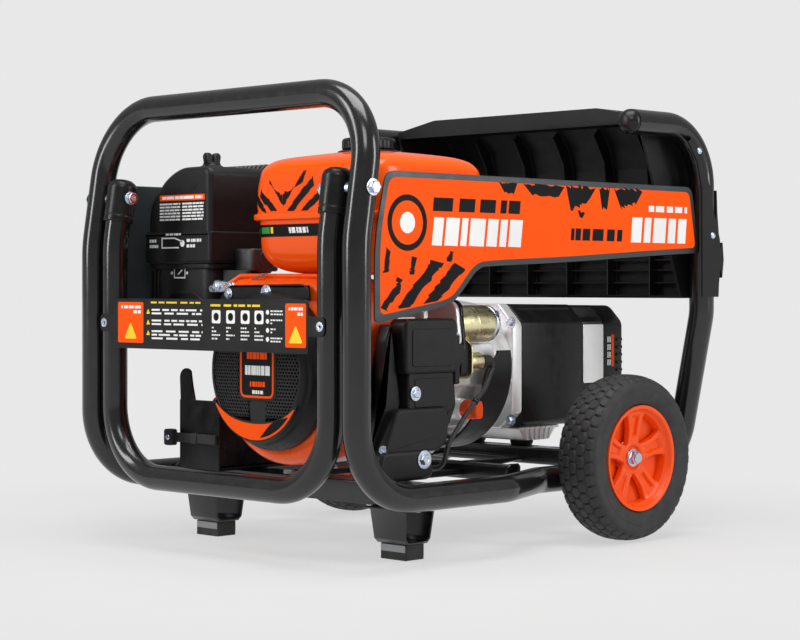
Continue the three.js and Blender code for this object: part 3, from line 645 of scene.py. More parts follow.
beads = []
for x0, x1, z0, z1, y in ((139, 191, 73, 104, 256.5), (368, 392, 91, 115, 208), (504, 529, 105, 130, 206)):
    frame_outline = rounded([[x0, z0], [x1, z0], [x1, z1], [x0, z1]], 5, 5)
    beads += [bead(frame_outline, -y), bead(frame_outline, y)]
piece("weld_beads", beads, tube_paint, angle=60)

# %% [markdown]
# ## Screws and bolts
# A bolt is a hexagon turned about its axis: the radius at angle t is r cos(30) / cos(t mod 60 - 30). Each
# has a chamfer on its corners and a washer below.

# %% Fasteners


def hexagon(u):
    """Radius factor of a hexagon with corner radius one."""
    return math.cos(math.pi / 6) / np.cos((u % (math.pi / 3)) - math.pi / 6)


def axes_towards(direction):
    """Unit axis and two across it."""
    k = np.asarray(direction, float) / np.linalg.norm(direction)
    i = np.cross(k, [0, 0, 1.0]) if abs(k[2]) < 0.9 else np.cross(k, [0, 1.0, 0])
    i /= np.linalg.norm(i)
    return np.array([k, i, np.cross(k, i)])


def hex_bolt(at, direction, radius=6.0, height=5.0, washer=1.6):
    """Washer and chamfered hexagon head standing on the point at."""
    axes = axes_towards(direction)
    flat = [[0, 0], [radius * washer, 0], [radius * washer, 1.2], [radius * 1.1, 1.5]]
    head = [[radius, 1.0], [radius, height - 0.8], [radius * 0.86, height], [radius * 0.5, height],
            [radius * 0.45, height - 0.5], [0, height - 0.5]]
    return [turned(flat + [[0, 1.5]], axes, at, 28), turned([[0, 0.8]] + head, axes, at, 36, hexagon)]


def round_screw(at, direction, radius=6.0, height=3.0):
    """Domed head with a round recess in its middle."""
    axes = axes_towards(direction)
    dome = [[0, 0], [radius, 0], [radius, 0.6], [radius * 0.92, height * 0.55],
            [radius * 0.7, height * 0.85], [radius * 0.42, height], [radius * 0.34, height - 0.2],
            [radius * 0.28, height - 1.2], [0, height - 1.2]]
    return [turned(dome, axes, at, 28)]


frame_bolts = []
for x, y in ((150, -238), (180, -238), (150, -155), (180, -155)):
    for side in (1, -1):
        frame_bolts += hex_bolt([x, y * side, 72.6], [0, 0, -1], 6, 5)
piece("frame_bolts", frame_bolts, zinc, angle=28)

# %% [markdown]
# ## Carrying handle and label plate
# The handle is one more bent tube. It hangs on two bolts through the hoop, inside moulded sleeves, and
# swings up to push the machine. A label plate is screwed across its legs. In this cell the tube and its
# sleeves ride on the handle; the pivot bolts and their lock rings stay with the machine.

# %% Handle
END_Z = 515.0
END_X = LEAN * (END_Z - KINK_Z) / (TOP_Z - KINK_Z)
LOW_BAR_Z = 100.3
handle = tube([[END_X, -HANDLE_Y, END_Z], [0, -HANDLE_Y, KINK_Z, 200], [0, -HANDLE_Y, LOW_BAR_Z, 100],
               [0, HANDLE_Y, LOW_BAR_Z, 100], [0, HANDLE_Y, KINK_Z, 200], [END_X, HANDLE_Y, END_Z]], HANDLE,
              40, 4)
piece("handle_tube", handle, tube_paint, "handle", ("transport_handle",), 50)
lean = math.atan2(LEAN, TOP_Z - KINK_Z)
sleeve_profile = softly([[18.3, 34], [21.4, 34], [21.4, 42], [20.6, 43.5], [21.2, 45], [21.4, 85], [19, 91],
                         [13, 95.5], [6, 96.8], [0, 97]], 1.5)
for side, sign in SIDES:
    sleeve_foot = np.array([0, sign * HANDLE_Y, KINK_Z])
    cap = turned_about(turned(sleeve_profile, "z", sleeve_foot, 48), [0, 1, 0], lean, sleeve_foot)
    piece(f"{side}_handle_sleeve", cap, smooth_black, "handle", stands_for=(f"{side}_handle_cap",))
    at = [PIVOT_X, 0, PIVOT_Z]
    bolt = [turned([[0, 206], [5, 206], [5, 296], [0, 296]], "y", at, 20)]
    bolt += [turned(softly([[8, 249.8], [8, 256.8], [4, 256.8]]), "y", at, 28),
             turned([[4, 249.8], [8, 249.8]], "y", at, 28)]
    bolt = [on_side(shell, sign) for shell in bolt]
    bolt += hex_bolt([PIVOT_X, sign * 295.3, PIVOT_Z], [0, sign, 0], 8.6, 7, 1.3)
    bolt += hex_bolt([PIVOT_X, sign * 206.4, PIVOT_Z], [0, -sign, 0], 8.4, 8, 1.15)
    piece(f"{side}_pivot_bolt_set", bolt, zinc, stands_for=(f"{side}_pivot_bolt",),
          angle=28)
    lock_ring = turned(softly([[5.2, 197.2], [7, 197.2], [7, 198.5], [5.2, 198.9]], 0.5), "y", at, 24)
    piece(f"{side}_lock_nut_ring", on_side(lock_ring, sign), warm_red)

# %% [markdown]
# Printed marks are thin stickers: each closed outline becomes a film a fifth of a millimetre thick, lying
# just on the part. Lettering and badges of the real product are not copied. Plain bars and blank symbols
# keep the rhythm.

# %% Stickers
RUNS_ON = 0.895                    # share of dashes after which a row of a block runs on
STICKER, INK = 0.12, 0.08          # thickness of a printed field and of the marks laid over it


def film(outlines, lie, level, outside=1, thick=0.22):
    """Each outline as a thin closed slab from level outwards."""
    low, high = sorted((level, level + outside * thick))
    return [plate(o, lie, low, high, 0) for o in outlines]


def bars(a, b, rows, seed, height, gap=0.25, slant=0.0):
    """Lines of dashes that stand for print: each row fills a..b with dashes of random length."""
    draw = np.random.default_rng(seed)
    out = []
    span = b - a
    for level in rows:
        at = a
        while abs(at - a) < abs(span) * 0.98:
            step = span * draw.uniform(0.08, 0.3)
            if abs(at + step - a) > abs(span):
                step = b - at
            end = at + step * (1 - gap)
            if abs(end - at) > 1.2:
                out.append([[at, level], [end, level], [end + slant * height, level + height],
                            [at + slant * height, level + height]])
            at += step
            if draw.random() > RUNS_ON and len(rows) > 1:
                break
    return out


def disc(a, b, r, sides=24):
    """Circle outline round (a, b)."""
    return circle(r, sides) + [a, b]


def triangle(a, b, size):
    """Upright triangle with rounded corners."""
    return rounded([[a - size, b - size * 0.8], [a + size, b - size * 0.8], [a, b + size * 0.9]],
                   size * 0.25, 3)


plate_shape = rounded([[-206, 284], [206, 284], [206, 307], [237, 307], [237, 333], [206, 333], [206, 355],
                       [-206, 355], [-206, 333], [-237, 333], [-237, 307], [-206, 307]],
                      [6, 6, 3, 9, 9, 3, 6, 6, 3, 9, 9, 3], 5)
PLATE_FACE, PLATE_BACK = -19.9, -18.5
SYMBOL_PLACES = (-22, -52, -82, -110)
piece("label_plate_sheet", plate(plate_shape, "yz", PLATE_FACE, PLATE_BACK, 0.5, 2), black_sheet, "handle",
      ("label_plate",))
blocks, hazards, lines, symbols, yellow_lines = [], [], [], [], []
for y0, y1 in ((137, 195), (-202, -162)):
    blocks.append(rounded([[y0, 292], [y1, 292], [y1, 350], [y0, 350]], 3))
    hazards.append(triangle((y0 + y1) / 2, 309, 14))
    lines += bars(y0 + 6, y1 - 6, (341, 334), 3, 4.2)
small_marks = [triangle(126, z, 4.2) for z in (337, 322, 307)]
yellow_lines += bars(-10, -117, (345,), 5, 3.0) + bars(120, 6, (348.5,), 8, 2.4)
for level in (338, 333, 323, 318, 308, 303, 298):
    lines += bars(118, 6, (level,), 20 + int(level), 2.6)
for k, y in enumerate(SYMBOL_PLACES):
    symbols.append(rounded([[y - 9, 322], [y + 9, 322], [y + 9, 340], [y - 9, 340]], 3))
    lines += bars(y + 9, y - 9, (315, 310, 305, 300), 60 + k, 2.2)
for k, level in enumerate((336, 324, 312, 300)):
    symbols.append(disc(-127, level + 2, 3.2))
    lines += bars(-133, -158, (level + 2.6, level - 1.6), 80 + k, 2.0)
inner_marks = [disc(y, 331, 5.5) for y in SYMBOL_PLACES]
lines += bars(5, 1, (344,), 99, 3)
piece("plate_warning_blocks", film(blocks, "yz", PLATE_FACE, -1, STICKER), print_orange, "handle")
over = PLATE_FACE - STICKER
yellow_films = film(hazards + small_marks, "yz", over, -1, INK)
yellow_films += film(yellow_lines, "yz", PLATE_FACE, -1, STICKER)
piece("plate_yellow_marks", yellow_films, print_yellow, "handle")
piece("plate_white_print", film(lines + symbols, "yz", over, -1, INK), print_white, "handle")
piece("plate_dark_symbols", film(inner_marks, "yz", over - INK, -1, INK), print_black, "handle")
plate_screws = []
for sign in (-1, 1):
    plate_screws += round_screw([PLATE_FACE + 0.1, sign * HANDLE_Y, 320], [-1, 0, 0], 6.5, 0.38)
piece("plate_screws", plate_screws, zinc, "handle")

# %% [markdown]
# ## Side panels
# Each long side carries a pressed panel with a grey border and an orange printed field. The torn black
# strokes are polygons whose edges step by random amounts, from a seeded generator so that they never change.

# %% Side panels
panel_outline = [[22, 324], [150, 345], [172, 352], [190, 368], [214, 392], [228, 399], [267, 401],
                 [394, 406], [606, 418], [712, 423], [716, 436], [700, 523], [43, 523], [22, 432]]
panel_shape = rounded(panel_outline, [10, 40, 20, 30, 30, 20, 40, 60, 60, 12, 8, 14, 14, 40], 5)
PANEL_FACE, PANEL_BACK = -287.0, -284.0
panel = plate(panel_shape, "xz", PANEL_FACE, PANEL_BACK, 1.4, 3, 0.3)
for side, flip in PAIR:
    piece(f"{side}_side_panel_sheet", flip(panel), panel_grey,
          stands_for=(f"{side}_side_panel",))


def torn(a, b, c, d, depth, seed, teeth=9):
    """A four-sided stroke with broken long edges a-b and d-c: noise shifts each edge point across."""
    draw = np.random.default_rng(seed)
    a, b, c, d = [np.asarray(p, float) for p in (a, b, c, d)]
    t = np.sort(np.r_[0, draw.uniform(0.02, 0.98, teeth), 1])[:, None]
    first, second = a + (b - a) * t, d + (c - d) * t
    across = (d - a) / (np.linalg.norm(d - a) + 1e-9)
    first = first + across * draw.uniform(-depth, depth, (len(t), 1))
    second = second + across * draw.uniform(-depth, depth, (len(t), 1))
    return np.concatenate([first, second[::-1]])


field_outline = rounded([[32, 335], [148, 353], [168, 359], [184, 374], [208, 398], [224, 406], [268, 409],
                         [394, 414], [606, 426], [705, 431], [708, 437], [693, 515], [49, 515], [31, 432]],
                        [10, 40, 20, 30, 30, 20, 40, 60, 60, 6, 6, 10, 14, 40], 5)
strokes = [
    torn([262, 514.5], [300, 514.5], [292, 500], [272, 502], 2, 1),
    torn([312, 514.5], [398, 514.5], [388, 499], [330, 500], 3, 2, 12),
    torn([404, 514.5], [470, 514.5], [458, 497], [414, 480], 4, 3, 12),
    torn([478, 514.5], [502, 514.5], [496, 484], [484, 486], 3, 4),
    torn([512, 514.5], [577, 514.5], [562, 494], [528, 486], 4, 5, 12),
    torn([430, 480], [446, 478], [440, 470], [434, 471], 1.5, 6),
    torn([34, 344], [66, 384], [76, 380], [46, 340], 4, 7, 10),
    torn([62, 343], [128, 408], [150, 403], [86, 345], 3.5, 9, 14),
    torn([110, 349], [172, 404], [194, 396], [140, 353], 3.5, 10, 13),
    torn([38, 390], [43, 424], [49, 420], [47, 391], 2, 11, 6),
    torn([86, 388], [92, 412], [99, 410], [95, 388], 2, 12, 6),
    torn([156, 406], [164, 420], [170, 418], [166, 405], 1.5, 13, 5),
]
badge, badge_inner, badge_core = [disc(82, 456, r, 48) for r in (37, 29, 14)]
small_bars = bars(130, 312, (472.5,), 31, 18, slant=0.12)
name_bars = [[[x, 427], [x + w, 426.5], [x + w + 5, 464], [x + 5, 464.5]] for x, w in
             ((128, 19), (152, 26), (183, 12), (200, 30), (235, 21), (261, 14), (280, 26))]
model_bars = [[[x, 437], [x + w, 437], [x + w + 4, 474], [x + 4, 474]] for x, w in
              ((551, 24), (581, 16), (603, 30), (639, 18), (663, 20))]
series_bars = bars(594, 690, (483,), 33, 9)
place_bars = bars(414, 534, (438,), 34, 17, slant=0.1)
FIELD = 0.2                        # thickness of the orange field under the other prints
panel_prints = (
    ("orange_field", [([field_outline], 0.0, FIELD)], print_orange, "orange_plastic"),
    ("dark_print", [(strokes + [badge, *small_bars, *place_bars], FIELD, STICKER)], print_black,
     "black_plastic"),
    ("badge_field", [([badge_inner], FIELD + STICKER, INK)], print_orange, "orange_plastic"),
    ("light_print", [(name_bars + model_bars + series_bars, FIELD, STICKER),
                     ([badge_core], FIELD + STICKER + INK, INK)], print_white, "grey_panel"),
)
for side, flip in PAIR:
    for name, layers, material, slot in panel_prints:
        shells = []
        for outlines, height, thick in layers:
            shells += film(outlines, "xz", PANEL_FACE - height, -1, thick)
        piece(f"{side}_panel_{name}", [flip(shell) for shell in shells], material)

# %% [markdown]
# ## Fuel tank
# A pressed tank has a soft upper half, a rolled seam and a lower half. Its plan is close to a rectangle with
# round corners, which a superellipse of power five or six gives. The crown is drawn from a few levels and
# resampled.

# %% Fuel tank
lower = between([(388, 150, 280, -180, -62, 4), (391, 112, 300, -204, -16, 4.6),
                 (400, 94, 314, -218, 12, 5.4), (418, 84, 319, -224, 26, 6), (445, 81, 320, -226, 29, 6),
                 (464, 80, 320, -226, 29, 6)], 26)
crown = between([(475, 80, 320, -226, 29, 8), (500, 80.3, 319.6, -225.7, 28.8, 8),
                 (526, 82, 317, -224, 27, 7), (538, 85, 313, -221, 24, 6.6), (547, 93, 305, -213, 16, 6),
                 (553, 108, 290, -199, 2, 5), (557.6, 134, 262, -172, -34, 3.6),
                 (561, 156, 236, -142, -68, 2.4)], 48)
seam = [(464, 80, 320, -226, 29, 6), (465, 76, 324, -230, 33, 6.4), (466, 74.4, 325.6, -231.6, 34.6, 6.6),
        (468, 74, 326, -232, 35, 6.6), (472, 74, 326, -232, 35, 6.6),
        (473.6, 74.8, 325.2, -231.2, 34.2, 6.6), (474.4, 78, 322, -228, 31, 6.2),
        (475, 80, 320, -226, 29, 6)]
tank_levels = np.concatenate([lower, np.array(seam, float)[1:-1], crown])
piece("fuel_tank_shell", stacked(tank_levels, 128), tank_orange,
      stands_for=("fuel_tank",), angle=45)
FILLER = [196, -99, 0]
cap_profile = softly([[0, 562.4], [35, 562.4], [36, 564], [38, 566], [38, 577], [36, 580.5], [30, 581.6],
                      [26, 580], [14, 580], [12, 581.5], [0, 582]], 1.4)
piece("fuel_cap_moulding",
      turned(cap_profile, "z", FILLER, 96, lambda u: 1 - 0.022 * (np.cos(24 * u) > 0.2)), smooth_black,
      "tank_cap", stands_for=("fuel_cap",), angle=40)
filler_ring = turned(softly([[30, 559], [44, 559], [44, 562.2], [41, 563.6], [39, 562.6], [30, 562.2]], 0.8),
                     "z", FILLER, 64)
piece("filler_neck_ring", filler_ring, black_sheet)

# %% [markdown]
# Stickers on a curved face have to follow it. We compute the same surface again on a fine grid, keep only
# the cells whose middle lies inside one of the outlines, and give the film its thickness with Solidify.

# %% Films on curved faces
CURVED_FILM, FILM_LIFT = 0.2, 0.25   # thickness, and the step from one layer to the next


def inside(points, outline):
    """Even-odd rule: a point is inside if a ray from it crosses the outline an odd number of times."""
    x, y = points[:, 0], points[:, 1]
    hit = np.zeros(len(points), bool)
    for (x0, y0), (x1, y1) in zip(outline, np.roll(np.asarray(outline, float), -1, 0)):
        crosses = (y0 > y) != (y1 > y)
        slope = (x1 - x0) / (y1 - y0 if y1 != y0 else 1e-9)
        hit ^= crosses & (x < x0 + (y - y0) * slope)
    return hit


def wrapped_film(name, surface, flat, outlines, material):
    """surface[u, v] holds points, flat[u, v] their drawing coordinates; cells inside an outline stay."""
    middle = (flat[:-1, :-1] + flat[1:, 1:] + flat[1:, :-1] + flat[:-1, 1:]).reshape(-1, 2) / 4
    keep = np.zeros(len(middle), bool)
    for outline in outlines:
        keep |= inside(middle, outline)
    points, faces = grid(surface)
    faces = np.array(faces)[keep]
    used, index = np.unique(faces, return_inverse=True)
    mesh = bpy.data.meshes.new(name)
    mesh.from_pydata(metres(points[used]).tolist(), [], index.reshape(faces.shape).tolist())
    obj = finish_piece(name, mesh, material, "machine", (), 35)
    film_wall = obj.modifiers.new("film thickness", "SOLIDIFY")
    film_wall.thickness, film_wall.offset = CURVED_FILM * 0.001, 1.0
    return obj


def tank_front(y, z):
    """x of a film on the tank's front: solve the superellipse of the level z for x at a given y."""
    x0, x1, y0, y1, power = [np.interp(z, tank_levels[:, 0], tank_levels[:, k]) for k in range(1, 6)]
    b, across = (y1 - y0) / 2, y - (y0 + y1) / 2
    reach = np.clip(1 - np.abs(across / b) ** power, 0, 1) ** (1 / power)
    return (x0 + x1) / 2 - (x1 - x0) / 2 * reach - FILM_LIFT


y_grid, z_grid = np.meshgrid(np.arange(30, -150, -0.9), np.arange(402, 536, 0.9), indexing="ij")
tank_face = np.stack([tank_front(y_grid, z_grid), y_grid, z_grid], -1)
tank_flat = np.stack([y_grid, z_grid], -1)
chevrons = [[[29, 512], [29, 477], [10, 477]],
            torn([20, 512], [-12, 477], [-1, 477], [21, 500], 2.0, 51, 7),
            torn([2, 509], [-36, 477], [-24, 477], [4, 498], 2.2, 52, 8),
            torn([-16, 522], [-48, 484], [-45, 500], [-18, 514], 2.2, 53, 9),
            torn([-48, 484], [-92, 536], [-86, 518], [-46, 500], 2.4, 54, 11),
            torn([-56, 477], [-106, 524], [-110, 512], [-70, 477], 2.0, 55, 9),
            torn([-84, 477], [-120, 503], [-122, 492], [-98, 477], 1.8, 56, 7),
            [[-124, 477], [-140, 488], [-140, 477]]]
wrapped_film("tank_torn_strokes", tank_face, tank_flat, chevrons, print_black)
strip = [[24, 459], [24, 442], [-120, 442], [-120, 459]]
wrapped_film("tank_label_strip", tank_face, tank_flat, [strip], print_black)
strip_face = tank_face - [FILM_LIFT, 0, 0]
marks = bars(-60, -100, (446.5,), 71, 8, slant=0.2)
wrapped_film("tank_label_marks", strip_face, tank_flat, marks, print_white)
leaf = [disc(16, 450.5, 4.4), [[4, 446.5], [4, 455], [-18, 455], [-18, 446.5]]]
wrapped_film("tank_label_leaf", strip_face, tank_flat, leaf, print_green)
tick = [[-20, 446.5], [-20, 455], [-26, 455], [-26, 446.5]]
wrapped_film("tank_label_tick", strip_face, tank_flat, [tick], print_yellow)

# %% [markdown]
# ## Air cleaner
# Two black mouldings: a cover with chamfered shoulders and a stepped skirt, and a rounded box below it that
# hides the choke lever. A winged knob clamps the cover. Large fillets come from the plate's rim.

# %% Air cleaner
cleaner_shape = rounded([[109, 418], [109, 538], [118, 547], [180, 547], [214, 532], [246, 500], [254, 478],
                         [254, 418]], [12, 14, 14, 16, 20, 20, 16, 12], 5)
skirt_shape = rounded([[105.5, 405], [105.5, 452], [257, 452], [257, 405]], [7, 3, 3, 7], 4)
piece("air_cleaner_cover_moulding", [plate(cleaner_shape, "yz", 80, 196, 6, 5, 9),
      plate(skirt_shape, "yz", 76.8, 198, 3, 4, 5)], moulding, stands_for=("air_cleaner_cover",), angle=40)
lower_body = [block(84, 190, 114, 250, 322, 404.5, 18, 2.5), block(80, 192, 109, 255, 398, 405, 14, 1.2)]
arch = rounded([[124, 328], [124, 352], [150, 366], [196, 366], [222, 352], [222, 328]], 8, 4)
lower_body.append(plate(arch, "yz", 81.2, 90, 1.5, 3, 1.5))
ribs = [block(80.5, 86, y, y + 3, 330, 396, 1, 0.8) for y in (228, 237, 246)]
piece("air_cleaner_box_moulding", lower_body + ribs, moulding, stands_for=("air_cleaner_base",), angle=40)
# painted shade: a flat darker-black film on the arch face stands in for the shade inside the choke recess
piece("choke_recess_painted_shade", plate(inset(arch, 4), "yz", 80.4, 81.6, 0.3), print_black)
choke_parts = [
    turned(softly([[0, 68.2], [5.5, 68.2], [7, 69.5], [7, 82], [0, 82]], 1), "x", [0, 206, 346], 40),
    block(70, 72.6, 152, 206, 341.5, 348.5, 3, 0.6, "yz"),
    turned(softly([[0, 67.6], [4, 67.6], [5, 68.4], [5, 74], [0, 74]], 0.6), "x", [0, 156, 345], 28),
]
piece("choke_lever_arm", choke_parts, zinc, "choke", ("choke_lever",))
knob_at = [142, 179, 0]
knob = [turned(softly([[0, 547.4], [18, 547.4], [19, 548.4], [18.4, 550], [13.5, 552.4], [12.6, 556],
                       [0, 558]], 1.2), "z", knob_at, 64)]
for sign in (-1, 1):
    lobe = rounded([[142, 553], [142 + sign * 13, 553], [142 + sign * 15.5, 566], [142 + sign * 12, 571],
                    [142 + sign * 4, 570.5], [142, 565]], [1, 3, 5, 5, 4, 2], 5)
    knob.append(plate(lobe, "xz", 174.6, 183.4, 2.6, 4, 2.6))
piece("air_cleaner_wing_knob", knob, smooth_black, "cleaner_knob", stands_for=("air_cleaner_knob",))
front = 79.9
header = rounded([[121, 498], [224, 498], [224, 506.5], [121, 506.5]], 2)
piece("cleaner_header_strip", film([header], "yz", front, -1), print_orange)
print_lines = bars(218, 126, (500.2,), 11, 4.2, gap=0.12)
for k, level in enumerate((492, 487.4, 482.8, 478.2, 473.6, 469)):
    print_lines += bars(224, 176, (level,), 12 + k, 2.6, gap=0.14)
    print_lines += bars(172, 123, (level,), 30 + k, 2.6, gap=0.14)
choke_icon = [
    *bars(244, 222, (437, 429), 40, 4.5),
    *bars(158, 124, (437, 429), 41, 4.5),
    rounded([[216, 428], [176, 428], [176, 430], [216, 430]], 0.5),
    rounded([[216, 430], [214, 430], [214, 444], [216, 444]], 0.5),
    [[214, 444], [214, 442], [186, 442], [168, 437], [168, 439], [186, 444]],
    disc(168, 435, 5),
    *bars(206, 170, (447,), 42, 3),
]
piece("cleaner_print", film(print_lines, "yz", front - 0.2, -1) + film(choke_icon, "yz", 76.6, -1),
      print_white)
body_icon = [rounded([[196, 384], [170, 384], [170, 386], [196, 386]], 0.5),
             [[196, 386], [194.5, 386], [194.5, 400], [196, 400]],
             [[196, 400], [196, 398.5], [170, 398.5], [170, 400]],
             [[171.5, 398.5], [170, 398.5], [170, 386], [171.5, 386]], disc(201, 392, 2.2),
             disc(166, 392, 2.2), [[188, 390], [186, 389], [176, 396], [178, 397]]]
piece("cleaner_body_icon", film(body_icon, "yz", 83.9, -1), print_white)

# %% Muffler with a slotted guard
guard = [block(212, 338, 144, 260, 402, 545, 16, 3)]
guard += [tube([[208.5, 141 + y, 404], [208.5, 141 + y, 553, 8], [341.5, 141 + y, 553, 8],
                [341.5, 141 + y, 404]], 2.4, 10, 20) for y in np.arange(2, 122, 10)]
guard += [tube([[208.6, 142, z], [208.6, 262, z]], 2.6, 10) for z in (420, 480, 540)]
piece("muffler_with_guard", guard, dark_iron, stands_for=("muffler",), angle=40)

# %% [markdown]
# ## Blower housing and starter cover
# The orange cowl is a shell whose outline is a circle with a square shoulder. Its front is drawn in to a
# round mouth: each outline point is joined to the mouth by a curve, so the sheet looks spun, not boxed.

# %% Blower housing
t = np.linspace(np.pi, 2 * np.pi, 90)
low_arc = np.stack([CRANK_Y + 134 * np.cos(t), CRANK_Z + 134 * np.sin(t)], -1)
shoulder = rounded([[101, 255], [99, 300], [90, 330], [72, 384], [30, 388], [-110, 386], [-156, 366],
                    [-167, 300], [-167, 262]], [0.1, 20, 16, 12, 30, 30, 22, 20, 0.1], 8)
cowl = np.concatenate([low_arc, shoulder])
angle_of = np.arctan2(cowl[:, 1] - CRANK_Z, cowl[:, 0] - CRANK_Y)
mouth = np.stack([np.cos(angle_of), np.sin(angle_of)], -1)
step = np.arange(len(cowl))
dent = 3.0 * np.exp(-((step - 12) / 5.0) ** 2) + 3.0 * np.exp(-((step - 26) / 4.0) ** 2)
rows = []
DRAWN_IN = ((190, 0.2), (160, 0), (140, 0), (120, 0.4), (104, 1.0), (94, 3), (87, 7), (83, 12), (81, 18))
for x, depth in DRAWN_IN:
    p = inset(cowl, depth) if depth else cowl
    p = p - mouth * (dent * math.exp(-((x - 140) / 26) ** 2))[:, None]
    rows.append(np.c_[np.full(len(p), x), p])
ring_in = [CRANK_Y, CRANK_Z] + mouth * 100
rows.append(np.c_[np.full(len(cowl), 80.6), 0.5 * inset(cowl, 22) + 0.5 * ring_in])
for x, r in ((80.4, 100), (80.6, 97), (82, 96), (96, 96), (97, 100)):
    rows.append(np.c_[np.full(len(cowl), x), [CRANK_Y, CRANK_Z] + mouth * r])
rows += [np.c_[np.full(len(cowl), x), inset(cowl, 6)] for x in (100, 189)]
cowl_shell = grid(np.array(rows), wrap_u=True, wrap_v=True)
top_ridge = tube([[86, 84, 372], [96, 60, 387.4, 8], [96, -120, 386.6, 12], [96, -150, 370]], 3.2, 14)
piece("blower_cowl", [cowl_shell, top_ridge], housing_orange,
      stands_for=("blower_housing",), angle=40)
bracket_shape = rounded([[80, 350], [64, 370], [50, 374], [-96, 376], [-110, 370], [-112, 354]],
                        [4, 8, 8, 8, 6, 4], 4)
piece("tank_bracket", [plate(bracket_shape, "yz", 70, 73.5, 1.0), block(70, 80, -104, 56, 370, 374, 3, 1)],
      black_sheet, angle=40)
piece("tank_bracket_bolts", hex_bolt([69.8, -24, 364], [-1, 0, 0], 6.5, 6)
      + hex_bolt([69.8, 56, 362], [-1, 0, 0], 5, 5), zinc, angle=28)

# %% [markdown]
# The starter cover is a moulded dish. Its face is pierced by small hexagonal holes. Each hole is one cell of
# a honeycomb: six quads between the cell's edge and the hole's edge, so the holes are real and the mesh
# stays light.

# %% Starter cover


def honeycomb(pitch, hole, keep):
    """Cells of a triangular grid that keep() accepts; corner k of a cell stands at 60 k + 30 degrees."""
    i, j = np.meshgrid(np.arange(-24, 25), np.arange(-24, 25), indexing="ij")
    centre = np.stack([(i + 0.5 * (j % 2)) * pitch, j * pitch * math.sqrt(0.75)], -1).reshape(-1, 2)
    centre = centre[keep(centre)]
    a = np.radians(np.arange(6) * 60 + 30)
    corner = np.stack([np.cos(a), np.sin(a)], -1)
    outer = centre[:, None] + corner * pitch / math.sqrt(3)
    inner = centre[:, None] + corner * hole
    points = np.concatenate([outer, inner], 1).reshape(-1, 2)
    base = (np.arange(len(centre)) * 12)[:, None, None]
    k = np.arange(6)
    cell = np.stack([k, (k + 1) % 6, (k + 1) % 6 + 6, k + 6], -1)
    return points, (base + cell).reshape(-1, 4).tolist()


def on_grille(c):
    """Inside the face ring, outside the badge and the middle rib."""
    r = np.hypot(c[:, 0], c[:, 1])
    badge_gone = (np.abs(c[:, 0] + 6) < 39) & (c[:, 1] > -30)
    rib_gone = (np.abs(c[:, 0] + 6) < 17)
    band_gone = (c[:, 1] < -62) & (np.abs(c[:, 0]) < 60)
    return (r < 90) & ~badge_gone & ~rib_gone & ~band_gone


flat_points, cells = honeycomb(5.4, 1.75, on_grille)
dish = 40.4 + 4.2 * np.clip((np.hypot(*flat_points.T) - 60) / 34, 0, 1) ** 2
grille = (np.c_[dish, flat_points + [CRANK_Y, CRANK_Z]], cells)
mesh = bpy.data.meshes.new("starter_grille")
mesh.from_pydata(metres(grille[0]).tolist(), [], grille[1])
soup = bmesh.new()
soup.from_mesh(mesh)
bmesh.ops.remove_doubles(soup, verts=soup.verts, dist=1e-5)
soup.to_mesh(mesh)
soup.free()
grille_obj = finish_piece("starter_grille", mesh, moulding, "machine", (), 60)
wall = grille_obj.modifiers.new("wall", "SOLIDIFY")
wall.thickness, wall.offset = 0.0018, 0.0

centre = [0, CRANK_Y, CRANK_Z]
ring_profile = softly([[90, 48], [88, 41.6], [91, 40.8], [94, 42.5], [97, 45], [100, 49], [98, 51],
                       [92, 49.5]], 1.2)
band_profile = softly([[97, 47], [103.6, 52.6], [107.6, 61], [109.6, 66], [111.4, 70], [112, 79.6],
                       [106, 79.6], [106, 72], [103, 60], [96, 52]], 1.2)
cover = [turned(ring_profile, "x", centre, 96), turned(band_profile, "x", centre, 96)]
pad = rounded([[-62, 300], [-62, 262], [-60, 232], [-57, 200], [-52, 178], [-26, 178], [-21, 200],
               [-18, 232], [-16, 262], [-16, 300]], 8, 3)
badge_back = rounded([[-78, 338], [-78, 214], [0, 214], [0, 338]], 16, 6)
cover += [plate(pad, "yz", 40.6, 46, 0.8, 3, 1.0), plate(badge_back, "yz", 38.8, 46, 0.8, 3, 2.2)]
FINS = 52
for k in range(FINS):
    a = math.radians(-178 + k * 360 / FINS)
    radial = [[98.5, 49.4], [108.8, 62.6], [108.0, 65.2], [97.2, 52.2]]
    fin = plate(np.array(radial)[:, ::-1], "xz", -1.5, 1.5, 0.5, 2, 0.5)
    cover.append(moved(turned_about(fin, [1, 0, 0], a, [0, 0, 0]), centre))
piece("starter_cover_moulding", cover, moulding, stands_for=("recoil_cover",), angle=40)
piece("starter_cover_rim_band",
      turned(softly([[100.5, 53.5], [106.4, 63.5], [104.6, 64.5], [98.6, 54.6]], 0.6), "x", centre, 96),
      print_black)
badge_plate = inset(badge_back, 4.5)
piece("starter_badge_edge", film([badge_plate], "yz", 38.8, -1, 0.25), print_orange)
piece("starter_badge_field", film([inset(badge_plate, 3.2)], "yz", 38.55, -1, 0.15), print_black)
piece("starter_badge_white", film(bars(-66, -14, (250,), 92, 13, gap=0.14) + bars(-52, -28, (224,), 93, 5),
                                  "yz", 38.4, -1, 0.1), print_white)
piece("starter_badge_orange", film(bars(-60, -18, (272,), 94, 16, gap=0.16) + bars(-56, -24, (234,), 95, 7),
                                   "yz", 38.4, -1, 0.1), print_orange)


def crescent(start, stop, reach, depth, sides=26):
    """Outline between an arc of radius reach and one drawn in by 1.5 + depth sin(pi t) along it."""
    t = np.linspace(0, 1, sides)
    a = np.radians(start + (stop - start) * t)
    inner = reach - 1.5 - depth * np.sin(np.pi * t)
    radii = (np.full(sides, reach), inner)
    arms = [np.stack([CRANK_Y + r * np.cos(a), CRANK_Z + r * np.sin(a)], -1) for r in radii]
    return np.concatenate([arms[0], arms[1][::-1]])


